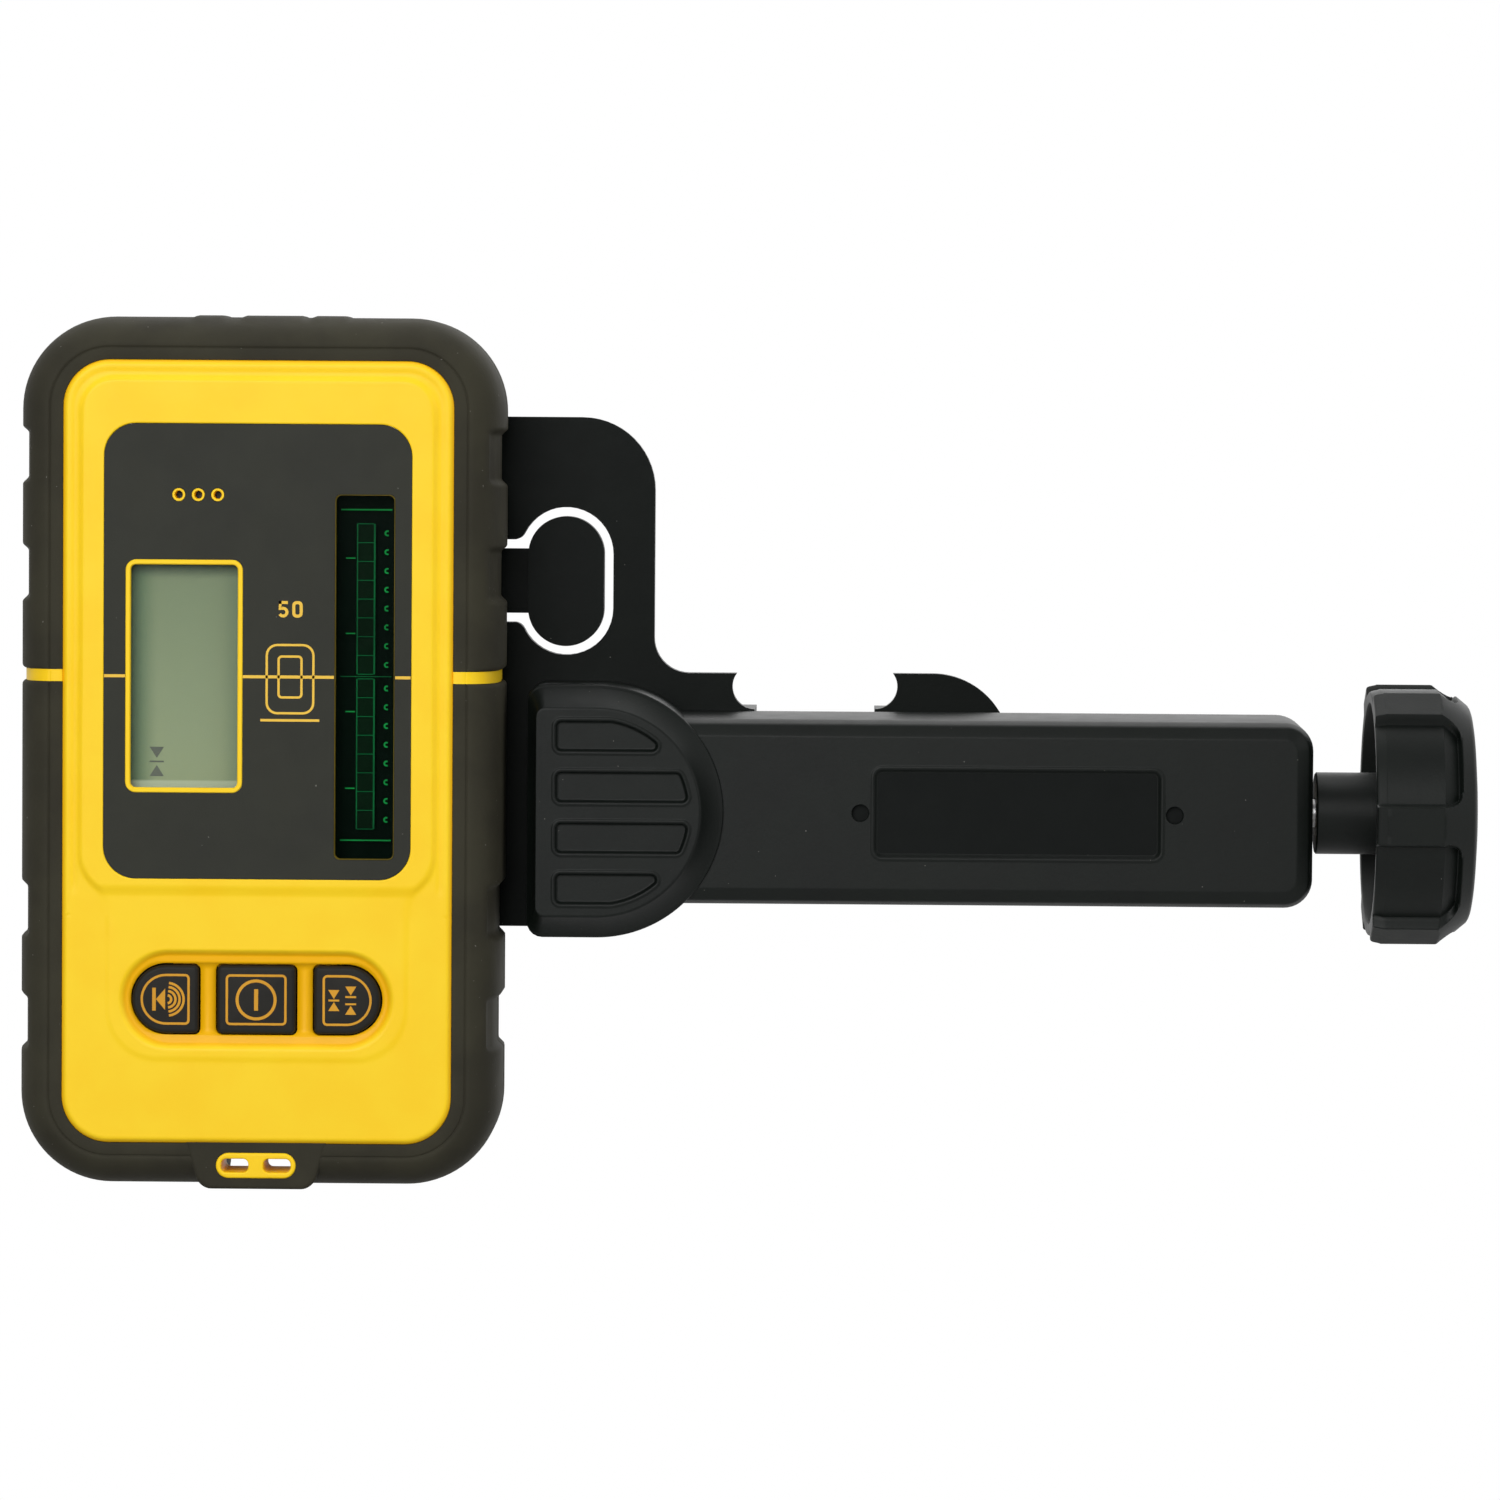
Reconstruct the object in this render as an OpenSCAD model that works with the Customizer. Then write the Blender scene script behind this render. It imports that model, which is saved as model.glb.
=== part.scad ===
// Laser receiver on a rod clamp.
// X runs from the receiver towards the clamp knob, Y from the display towards the rod, Z is up.
// The shapes are drawn about the receiver's reference line (Z = 0) and its back face (Y = 0),
// and are then set with the origin at the middle of the clamp's fixed jaw face.
// Lengths are in millimetres.

/* [Receiver] */
// Width over the rubber guards
body_w = 67.5; // [62:0.5:80]
// Height over the rubber guards
body_h = 120.5; // [118:0.5:140]
// Depth from the front face to the back face
body_d = 29; // [28.5:0.5:36]
// Radius of the outer corners
corner_r = 13; // [11:0.5:15]
// Height of the top edge above the reference line
ref_top = 50; // [48:0.5:56]
// Depth of the rear case, from the back face to the parting plane
rear_d = 13; // [11:0.5:14]
// Thickness of the plastic case
case_wall = 2; // [1.6:0.1:2.2]
// Thickness of the front wall behind the front face
face_wall = 2.8; // [2.4:0.1:3]
// Width of the rubber border beside the front face
face_margin = 6.6; // [6:0.1:7.5]
// Width of the rubber border above the front face
face_margin_top = 6.1; // [5.6:0.1:7]
// Width of the rubber border below the front face
face_margin_bottom = 5.4; // [5.1:0.1:6]
// Radius of the front face's corners
face_r = 6.5; // [5:0.5:7.5]

/* [Rubber guards] */
// Thickness of the rubber at the sides and the top
guard_side = 2.6; // [2.2:0.1:3]
// Thickness of the rubber at the bottom
guard_bottom = 3.8; // [3.5:0.1:4.2]
// Thickness of the rubber over the front and back rims
guard_front = 2; // [1.6:0.1:2.2]
// How far the rubber lies below the front face
land_drop = 0.8; // [0.4:0.1:1]
// Width of the rounded edge of the rubber
guard_round = 4.8; // [4:0.1:5]
// Height of the reference notch in the rubber
notch_h = 1.7; // [1.2:0.1:2.4]
// Depth of the grip recesses in the sides
grip_deep = 0.8; // [0.4:0.1:1.2]
// Height of each grip recess
grip_h = 7; // [5:0.5:8]
// Width of the lanyard tab under the receiver
tab_w = 17.4; // [15:0.2:22]
// Drop of the lanyard tab below the rubber
tab_drop = 1; // [0.6:0.1:2.5]
// Depth of the lanyard tab, front to back
tab_d = 9; // [6:0.5:12]
// Width of the lanyard eye
eye_w = 11.2; // [10:0.1:13]
// Height of the lanyard eye
eye_h = 3.6; // [3.4:0.1:4]
// Width of each slot in the lanyard eye
eye_slot_w = 3.8; // [3:0.1:4]
// Height of each slot in the lanyard eye
eye_slot_h = 1.9; // [1.5:0.1:2.2]

/* [Display and sensor] */
// Width of the dark front panel
panel_w = 42.8; // [40:0.2:46]
// Height of the dark front panel
panel_h = 63.3; // [60:0.2:66]
// Height of the panel's top edge above the reference line
panel_top = 35.1; // [33:0.1:37]
// Radius of the panel's corners
panel_r = 4.5; // [3:0.1:6]
// Thickness of the front panel
panel_t = 0.5; // [0.3:0.05:0.7]
// Width of the display opening
lcd_w = 14.9; // [13:0.1:15.5]
// Height of the display opening
lcd_h = 31; // [28:0.2:32]
// Width of the rim round the display
lcd_rim = 0.7; // [0.5:0.05:1]
// Distance of the display to the left of the receiver's middle
lcd_x = 10.2; // [9:0.1:11]
// Thickness of the display lens
lens_t = 1.2; // [0.8:0.1:1.4]
// Width of the sensor window
sensor_w = 8.1; // [7:0.1:9]
// Height of the sensor window
sensor_h = 50.5; // [44:0.5:52]
// Distance of the sensor window to the right of the receiver's middle
sensor_x = 14.9; // [14:0.1:15.5]
// Number of photodiodes in the sensor column
diode_count = 16; // [8:1:17]
// Pitch of the photodiodes
diode_pitch = 2.55; // [2.2:0.05:2.7]
// Diameter of each sound hole
sound_hole = 1.1; // [0.8:0.1:1.4]
// Pitch of the sound holes
sound_pitch = 2.7; // [2.2:0.1:3]
// Height of the sound holes above the reference line
sound_z = 25.2; // [24.6:0.1:26]

/* [Keys] */
// Height of each key
key_h = 10.3; // [8.5:0.1:11]
// Width of the middle key
key_mid_w = 10.9; // [9:0.1:11.5]
// Width of each outer key
key_side_w = 9.25; // [8:0.05:9.6]
// Web between the keys
key_web = 2.6; // [2.2:0.1:3]
// Height of the keys' middle above the receiver's lower edge
key_up = 25.5; // [24.5:0.1:26.5]
// Margin of the shallow recess round the keys
key_margin = 1.9; // [1.4:0.1:2.2]
// Depth of the recess round the keys
key_recess = 0.8; // [0.5:0.05:1]
// How far the keys lie below the front face
key_sink = 0.2; // [0.1:0.05:0.4]
// Travel of each key
key_travel = 0.6; // [0.3:0.05:0.7]

/* [Battery] */
// Length of the battery without its terminals
cell_l = 46.4; // [44:0.2:47]
// Height of the battery
cell_h = 26.5; // [24:0.2:27]
// Depth of the battery
cell_d = 17.5; // [15:0.1:17.6]
// Length of the battery's terminals
terminal_l = 2.1; // [1.6:0.1:2.2]
// Thickness of the battery door
door_t = 2; // [1.6:0.1:2.2]
// Overlap of the door beyond its opening
door_lap = 1.6; // [1.2:0.1:1.8]
// Diameter of the door's hinge pin
door_pin_d = 1.5; // [1.2:0.1:1.8]

/* [Bracket] */
// Thickness of the bracket plate
plate_t = 3.6; // [3.2:0.1:4.5]
// Gap between the receiver's back and the plate
plate_gap = 0.4; // [0.3:0.1:0.6]
// Height of the bracket's upright
upright_h = 72.8; // [68:0.2:78]
// Reach of the upright beyond the receiver's side
upright_out = 20.6; // [19:0.1:24]
// Radius of the upright's corners
upright_r = 10.4; // [8:0.2:12]
// Height of the tongue that slides onto the receiver
tongue_h = 42; // [40:0.2:44]
// Width of each guide rail's lip
rail_lip = 2.6; // [2:0.1:3]
// Height of each guide rail's wall
rail_wall = 3.7; // [3:0.1:4]
// Thickness of each guide rail's lip
rail_lip_t = 2.3; // [1.8:0.1:3]

/* [Release lever] */
// Height of the lever's middle above the reference line
lever_z = 13; // [12.6:0.1:13.5]
// Height of the lever's arm
lever_h = 9.2; // [8:0.1:9.6]
// Height of the thumb pad
pad_h = 18.5; // [16:0.1:20]
// Width of the thumb pad
pad_w = 10.8; // [9:0.1:11]
// Gap between the receiver's side and the thumb pad
pad_gap = 2.6; // [2:0.1:3]
// Gap round the lever
lever_gap = 1.3; // [1:0.05:1.5]
// How far the thumb pad stands in front of the plate
pad_proud = 1.4; // [0.8:0.1:2]
// Diameter of the lever's pin
lever_pin_d = 1.6; // [1.4:0.1:1.8]
// Thickness of the leaf spring
leaf_t = 0.4; // [0.3:0.05:0.6]

/* [Clamp bar] */
// Height of the bar's middle below the reference line
bar_drop = 19; // [18.5:0.1:20]
// Height of the bar
bar_h = 27.3; // [26.5:0.1:28]
// Length of the bar from the middle of the grip's round end
bar_l = 100.8; // [98:0.2:110]
// Depth of the bar in front of the plate
bar_d = 16.4; // [16:0.1:18]
// Radius of the bar's outer end corners
bar_r = 4.6; // [3.5:0.1:6]
// Bevel round the bar's front face
bar_bevel = 2.5; // [1.5:0.1:2.6]
// Thickness of the bar's walls
bar_wall = 3; // [2.6:0.1:3.2]
// Thickness of the bar's end wall
bar_end = 3.5; // [3:0.1:4]
// Width of the plain recess in the bar's front
recess_w = 40.4; // [36:0.2:44]
// Height of the plain recess in the bar's front
recess_h = 12.5; // [10:0.1:14]
// Depth of the plain recess in the bar's front
recess_d = 0.5; // [0.3:0.05:0.8]
// Diameter of the two small holes in the bar's front
dot_d = 2.4; // [1.8:0.1:3]

/* [Thumb grip] */
// Radius of the grip's round end
grip_r = 17.8; // [16.5:0.1:18]
// Length of the grip's straight part
grip_l = 9.8; // [9:0.1:12]
// Gap between the receiver's side and the grip
grip_gap = 3.3; // [2.6:0.1:4]
// How far the grip stands in front of the bar
grip_proud = 4; // [3:0.1:5]
// Width of the grip's rounded edge
grip_round = 2.8; // [2:0.1:3.2]
// Height of each pocket in the grip
pocket_h = 4.25; // [3.5:0.05:4.8]
// Pitch of the pockets in the grip
pocket_pitch = 7.1; // [6.4:0.1:7.4]
// Depth of the pockets in the grip
pocket_d = 0.9; // [0.5:0.05:1.2]
// Number of pockets in the grip
pocket_count = 4; // [3:1:4]

/* [Jaws] */
// Depth of the jaws behind the plate
jaw_d = 22; // [18:0.5:28]
// Height of the jaws
jaw_h = 27.2; // [24:0.2:28.6]
// Thickness of each jaw's wall
jaw_wall = 4; // [3:0.1:5]
// Gap between the jaws as drawn
jaw_gap = 17.2; // [16.5:0.1:18]
// Distance of the fixed jaw's face from the middle of the grip's round end
jaw_out = 21.9; // [21.2:0.1:23]
// How far the jaws' reading horns are set back from the jaw faces
horn_back = 2.6; // [2:0.1:3]
// Radius of the notch under each reading horn
horn_r = 3.2; // [2.8:0.1:3.5]
// Length of the sliding jaw along the bar
jaw_l = 17.9; // [16:0.1:18.5]
// Travel of the sliding jaw towards the fixed jaw
jaw_close = 15.5; // [12:0.5:15.5]
// Travel of the sliding jaw towards the knob
jaw_open = 38; // [30:0.5:38]
// Thickness of the jaws' stiffening ribs
rib_t = 2.5; // [2:0.1:3]

/* [Screw and knob] */
// Diameter of the clamp screw
screw_d = 5; // [4.6:0.1:5.6]
// Diameter of the screw's plain ends
journal_d = 4; // [3.6:0.1:4.2]
// Width of the nut across its flats
nut_af = 8; // [7.5:0.1:8.5]
// Thickness of the nut
nut_t = 5; // [4:0.1:6]
// Outer diameter of the screw's bush
bush_d = 8; // [7.5:0.1:8.5]
// Diameter of the knob over its ribs
knob_d = 38.4; // [34:0.2:42]
// Height of the knob's ribs
knob_rib = 1.5; // [1:0.1:2]
// Width of the knob's ribs
knob_rib_w = 5.2; // [4:0.1:6]
// Number of ribs on the knob
knob_ribs = 6; // [5:1:8]
// Length of the knob
knob_l = 15.1; // [13.5:0.1:18]
// Wall of the knob
knob_wall = 2; // [1.6:0.1:2.4]
// Diameter of the knob's hub
hub_d = 11.6; // [10:0.1:13]
// Length of the hub that shows between the bar and the knob
hub_l = 7.6; // [6:0.1:9]
// Gap between the bar's end and the hub
hub_gap = 0.7; // [0.5:0.1:1]

/* [Hidden] */
$fn = 64;
hull_fn = 32;
over = 1;
skin = 0.02;
run_gap = 0.3;
turn_gap = 0.05;
seat_gap = 0.1;

// Colours
yellow = "#FDD021";
rubber = "#34322C";
charcoal = "#3D3C37";
black = "#1C2120";
steel = "#B8BABC";
brass = "#B99A52";
board_green = "#1F5A33";

// Receiver outlines
body_bottom = ref_top - body_h;
body_cz = ref_top - body_h / 2;
core_w = body_w - 2 * guard_side;
core_top = ref_top - guard_side;
core_bottom = body_bottom + guard_bottom;
core_h = core_top - core_bottom;
core_cz = (core_top + core_bottom) / 2;
core_r = corner_r - guard_side;
face_w = body_w - 2 * face_margin;
face_top = ref_top - face_margin_top;
face_bottom = body_bottom + face_margin_bottom;
face_h = face_top - face_bottom;
face_cz = (face_top + face_bottom) / 2;
side_x = body_w / 2;

// Receiver depths
y_front = -body_d;
y_land = y_front + land_drop;
y_core_f = y_land + guard_front;
y_core_b = -land_drop - guard_front;
y_part = -rear_d;
y_wall = y_front + face_wall;
face_edge = 0.6;
round_in_shares = [1, 0.53, 0.14, 0];
round_deep_shares = [0, 0.2, 0.53, 0.94];

// Grip recesses on each side, as heights above the reference line
grip_first = 30.6;
grip_second = 14.8;
grip_third = -32.8;
grip_fourth = -48.5;
grip_zs = [grip_first, grip_second, grip_third, grip_fourth];
grip_slope = 1.2;

// Lanyard eye
eye_up = 2.3;
eye_z = body_bottom + eye_up;
eye_bar = 2.1;
eye_slot_r = 0.475;
eye_neck_w = 8;
tab_taper = 1.3;

// Case joint
post_in = 5;
post_x = core_w / 2 - case_wall - post_in;
post_inset = 10;
post_r = 3;
post_z_top = core_top - post_inset;
pilot_d = 2.2;
case_screw_d = 2.5;
case_head_d = 4.6;
case_head_t = 1.8;
case_screw_l = 12;
head_seat = 5;
gasket_in = 0.55;
gasket_w = 0.9;
gasket_front = 0.6;
gasket_rear = 0.4;

// Display stack
lens_lap = 1;
lens_drop = 1;
lcd_lap = 1.5;
connector_h = 2.4;
connector_t = 0.6;
window_flange = 1;
window_flange_t = 1;
window_drop = 0.1;
window_r = 0.8;
lcd_r = 0.6;
board_t = 1.2;
sensor_board_t = 1;
diode_t = 0.9;
diode_w = 2.4;
diode_h_share = 0.88;
diode_shift = 0.4;
sound_ring = 1.9;
sound_count = 3;
sound_x = -8.3;
buzzer_d = 14;

// Keys
key_z = body_bottom + key_up;
key_r = 0.7;
key_clear = 0.25;
key_flange = 0.6;
key_flange_t = 0.8;
key_side_x = key_mid_w / 2 + key_web + key_side_w / 2;
y_key = y_front + key_sink;
y_flange = y_wall + seat_gap;
y_foot = y_flange + key_flange_t;
switch_w = 6;
switch_t = 1.2;
actuator_d = 3.4;
actuator_t = 0.4;
y_board = y_foot + key_travel + seat_gap + actuator_t + switch_t;
y_lcd = y_wall + seat_gap;
y_lcd_b = y_board - connector_t;
board_side = 8.2;
board_over = 2.9;
board_under = 4.7;
board_w = core_w - 2 * case_wall - 2 * board_side;
board_top = panel_top + board_over;
board_bottom = key_z - key_h / 2 - board_under;
board_post_d = 4;
board_post_in = 2.5;
board_post_down = 3.5;
board_screw_d = 1.6;
board_head_d = 3.2;
board_head_t = 1.2;
board_post_clear = 0.9;
board_post_z_top = board_top - board_post_down;
board_post_z_low = -sensor_h / 2 - window_flange - board_post_d / 2 - board_post_clear;

// Battery bay
cell_gap = 0.25;
tub_t = 1.2;
bay_h = cell_h + 2 * cell_gap;
hinge_up = 8.6;
barrel_d = 3.2;
barrel_clear = 0.3;
hinge_z = body_bottom + hinge_up;
hinge_y = -barrel_d / 2;
hinge_low = hinge_z - barrel_d / 2 - barrel_clear;
bay_bottom = hinge_z + barrel_d / 2 + 2 * barrel_clear;
bay_top = bay_bottom + bay_h;
bay_cz = (bay_bottom + bay_top) / 2;
cell_x0 = -24;
cell_x1 = cell_x0 + cell_l;
snap_x0 = cell_x1 + terminal_l + seat_gap;
snap_t = 1.2;
bay_x0 = cell_x0 - cell_gap - seat_gap;
bay_x1 = snap_x0 + snap_t + seat_gap;
opening_x1 = snap_x0;
y_cell_b = -door_t - run_gap;
y_cell_f = y_cell_b - cell_d;
y_tub = y_cell_f - run_gap - tub_t;
door_w = opening_x1 - bay_x0 + 2 * door_lap;
door_cx = (opening_x1 + bay_x0) / 2;
door_top = bay_top + door_lap;
door_clear = 0.2;
lug_w = 4;
lug_x = 20.3;
post_clear = 0.4;
post_z_low = door_top + door_clear + case_head_d / 2 + post_clear;
terminal_r = 2.9;
terminal_z = 6.35;

// Bracket plate
y_pl0 = plate_gap;
y_pl1 = plate_gap + plate_t;
rail_in = 1.15;
rail_in_left = 1.85;
rail_x1 = face_w / 2 - rail_in;
rail_x0 = rail_in_left - face_w / 2;
stop_w = 2;
tongue_x0 = rail_x0 + stop_w + run_gap;
upright_x0 = rail_x1 + stop_w / 2;
upright_x1 = side_x + upright_out;
bar_z = -bar_drop;
grip_x0 = side_x + grip_gap;
grip_cx = grip_x0 + grip_l;
bar_x1 = grip_cx + bar_l;
jaw_face_x = grip_cx + jaw_out;
jaw_face_y = y_pl1 + jaw_d / 2;
horn_x = jaw_face_x - horn_back;
horn_cz_share = 0.6;
horn_fillet = 5;
opening_r = 1.6;
plate_inset = 0.25;
y_bar = y_pl0 - bar_d;
y_grip = y_bar - grip_proud;
y_axis = (y_bar + bar_wall + y_pl0) / 2;

// Bar cavity and screws
cav_lead = 1.3;
cav_x0 = jaw_face_x - cav_lead;
cav_x1 = bar_x1 - bar_end;
cav_h = bar_h - 2 * bar_wall;
y_cav = y_bar + bar_wall;
grip_shell = 2.5;
grip_corner = 2;
journal_wall = 6;
grip_cav_x1 = cav_x0 - journal_wall;
set_post_d = 5;
set_screw_d = 2.2;
set_head_d = 4.2;
set_head_t = 1.6;
set_screw_l = 9;
end_post_in = 1.2;
end_post_x = cav_x1 - end_post_in;
end_post_d = 4.4;
end_post_down = 1.6;
end_post_z = cav_h / 2 - end_post_down;
grip_post_back = 2;
grip_post_x = grip_cx - grip_post_back;
grip_post_z = 10;

// Sliding jaw, in its drawn place
jaw_x0 = jaw_face_x + jaw_gap;
jaw_x1 = jaw_x0 + jaw_l;
carriage_l = 16;
neck_in = 1;
neck_h = 11.2;
slot_gap = 0.5;
jaw_base_t = 3;
fin_flat = 5.7;
fin_r = 11.2;
screw_clear = 0.4;

// Screw and knob places
thread_lead = 0.5;
thread_tail = 1.1;
thread_x0 = cav_x0 + thread_lead;
thread_x1 = cav_x1 - thread_tail;
ring_t = 0.6;
ring_d = 8;
ring_groove = 0.35;
bush_out = 0.2;
hub_x0 = bar_x1 + hub_gap;
rim_x = hub_x0 + hub_l;
knob_x1 = rim_x + knob_l;
knob_r = knob_d / 2;
flat_share = 0.69;
shoulder_share = 0.93;
shoulder_in = 3.8;
rib_side_share = 1.2;
knob_floor = 3.4;
journal_in = 2;
knob_phase = -84;

// Release lever places
lever_px = -2;
lever_py = (y_pl0 + y_pl1) / 2;
lever_barrel_d = 3.2;
lever_in = 0.5;
lever_thin = 0.6;
pad_x0 = side_x + pad_gap;
pad_cx = pad_x0 + pad_w / 2;
channel_end = 3;
hook_x = 22;
hook_l = 3;
hook_h = 6;
hook_in = 0.9;
hook_clear = 0.5;
lever_pin_lap = 1.6;
leaf_w = 6;
leaf_x0 = tongue_x0 + 5;
leaf_x1 = 20;
leaf_tip_l = 2;
rivet_x = leaf_x0 + 3;
rivet_d = 2.4;
rivet_head_d = 4.4;
rivet_head_t = 0.8;
cross_l_share = 0.33;
cross_w_share = 0.083;

// Sets a drawn piece about the origin in the fixed jaw's face
module placed() {
    translate([-jaw_face_x, -jaw_face_y, -bar_z]) children();
}

// A flat outline, drawn in X and Z, carried from y0 to y1
module slab(y0, y1) {
    translate([0, y1, 0]) rotate([90, 0, 0]) linear_extrude(y1 - y0) children();
}

// A round bar along Y
module rod_y(x, z, d, y0, y1) {
    slab(y0, y1) translate([x, z]) circle(d / 2);
}

// A round bar along X
module rod_x(y, z, d, x0, x1) {
    translate([x0, y, z]) rotate([0, 90, 0]) cylinder(d = d, h = x1 - x0);
}

// A box between two corners
module box(low, high) {
    translate(low) cube(high - low);
}

// A rectangle with round corners
module rrect(w, h, r) {
    square([w - 2 * r, h], center = true);
    square([w, h - 2 * r], center = true);
    for (sx = [-1, 1], sz = [-1, 1]) {
        translate([sx * (w / 2 - r), sz * (h / 2 - r)]) circle(r);
    }
}

// A slot with round ends along X
module stadium(w, h) {
    square([w - h, h], center = true);
    for (s = [-1, 1]) {
        translate([s * (w - h) / 2, 0]) circle(h / 2);
    }
}

// A rectangle whose left end is round and whose right corners have radius r
module d_shape(w, h, r) {
    translate([-w / 2 + h / 2, 0]) circle(h / 2);
    translate([-w / 2 + h / 2, -h / 2]) square([w - h / 2 - r, h]);
    translate([-w / 2 + h / 2, -h / 2 + r]) square([w - h / 2, h - 2 * r]);
    for (s = [-1, 1]) {
        translate([w / 2 - r, s * (h / 2 - r)]) circle(r);
    }
}

module body_outline(inset) {
    translate([0, body_cz]) rrect(body_w - 2 * inset, body_h - 2 * inset, corner_r - inset);
}

module core_outline(inset) {
    translate([0, core_cz]) rrect(core_w - 2 * inset, core_h - 2 * inset, core_r - inset);
}

module face_outline(inset) {
    translate([0, face_cz]) rrect(face_w - 2 * inset, face_h - 2 * inset, face_r - inset);
}

// The outer form of all the rubber, with its front and back edges rounded
module guard_form(inset) {
    hull() {
        for (i = [0 : len(round_in_shares) - 1]) {
            edge_in = guard_round * round_in_shares[i] + inset;
            deep = guard_round * round_deep_shares[i] + inset;
            slab(y_land + deep, -land_drop - deep) body_outline(edge_in, $fn = hull_fn);
        }
    }
}

// The lanyard eye's outline, with the neck that ties it to the case
module eye_outline() {
    translate([0, eye_z]) stadium(eye_w, eye_h);
    translate([-eye_neck_w / 2, eye_z + eye_slot_h / 2]) {
        square([eye_neck_w, core_bottom + case_wall / 2 - eye_z - eye_slot_h / 2]);
    }
}

// The front lower guard's tab below the receiver
module tab_outline() {
    polygon([
        [-tab_w / 2, body_bottom + eye_h / 2], [tab_w / 2, body_bottom + eye_h / 2],
        [tab_w / 2, body_bottom], [tab_w / 2 - tab_taper, body_bottom - tab_drop],
        [-tab_w / 2 + tab_taper, body_bottom - tab_drop], [-tab_w / 2, body_bottom]
    ]);
}

// The shallow grip recesses in one side
module grip_cuts() {
    for (s = [-1, 1], z = grip_zs) {
        slab(y_front - over, over) polygon([
            [s * (side_x - grip_deep), z - grip_h / 2], [s * (side_x - grip_deep), z + grip_h / 2],
            [s * (side_x + grip_deep), z + grip_h / 2 + grip_slope],
            [s * (side_x + grip_deep), z - grip_h / 2 - grip_slope]
        ]);
    }
}

// One of the four rubber pieces
module guard(front, upper) {
    y0 = front ? y_front - over : y_part;
    y1 = front ? y_part : over;
    z0 = upper ? notch_h / 2 : body_bottom - tab_drop - over;
    z1 = upper ? ref_top + over : -notch_h / 2;
    difference() {
        union() {
            intersection() {
                guard_form(0);
                box([-side_x - over, y0, z0], [side_x + over, y1, z1]);
            }
            if (front && !upper) {
                slab(y_land, y_land + tab_d) tab_outline();
            }
        }
        slab(y_core_f, y_core_b) core_outline(0);
        slab(y_front - over, over) face_outline(0);
        if (front && !upper) {
            slab(y_land - over, y_land + tab_d + over) eye_outline();
        }
        // groove behind the tab that the lanyard's cord leaves through
        if (!upper) {
            box([-eye_w / 2, y_land + tab_d, body_bottom - tab_drop - over], [eye_w / 2, over, core_bottom]);
        }
        grip_cuts();
    }
}

// The case's bars that show in the reference notch
module mark_bars(y0, y1) {
    intersection() {
        guard_form(grip_deep);
        for (m = [0, 1]) {
            mirror([m, 0, 0]) box([face_w / 2 - case_wall, y0, -notch_h / 2], [side_x, y1, notch_h / 2]);
        }
    }
}

// Places of the four case screws
module at_posts() {
    for (s = [-1, 1], z = [post_z_top, post_z_low]) {
        translate([s * post_x, 0, z]) children();
    }
}

// Places of the four board screws
module at_board_posts() {
    for (s = [-1, 1], z = [board_post_z_top, board_post_z_low]) {
        translate([s * (board_w / 2 - board_post_in), 0, z]) children();
    }
}

// Ring groove or ring of the case gasket
module gasket_ring(grow) {
    difference() {
        core_outline(gasket_in - grow);
        core_outline(gasket_in + gasket_w + grow);
    }
}

// The outlines of the three keys, grown by a margin
module key_outline(which, grow) {
    translate([0, key_z]) {
        if (which == "power") {
            rrect(key_mid_w + 2 * grow, key_h + 2 * grow, key_r + grow);
        }
        if (which == "sound") {
            translate([-key_side_x, 0]) d_shape(key_side_w + 2 * grow, key_h + 2 * grow, key_r + grow);
        }
        if (which == "accuracy") {
            translate([key_side_x, 0]) {
                mirror([1, 0]) d_shape(key_side_w + 2 * grow, key_h + 2 * grow, key_r + grow);
            }
        }
    }
}

// Places of the sound holes
module at_sound_holes() {
    for (i = [0 : sound_count - 1]) {
        translate([sound_x + (i - (sound_count - 1) / 2) * sound_pitch, sound_z]) children();
    }
}

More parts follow.
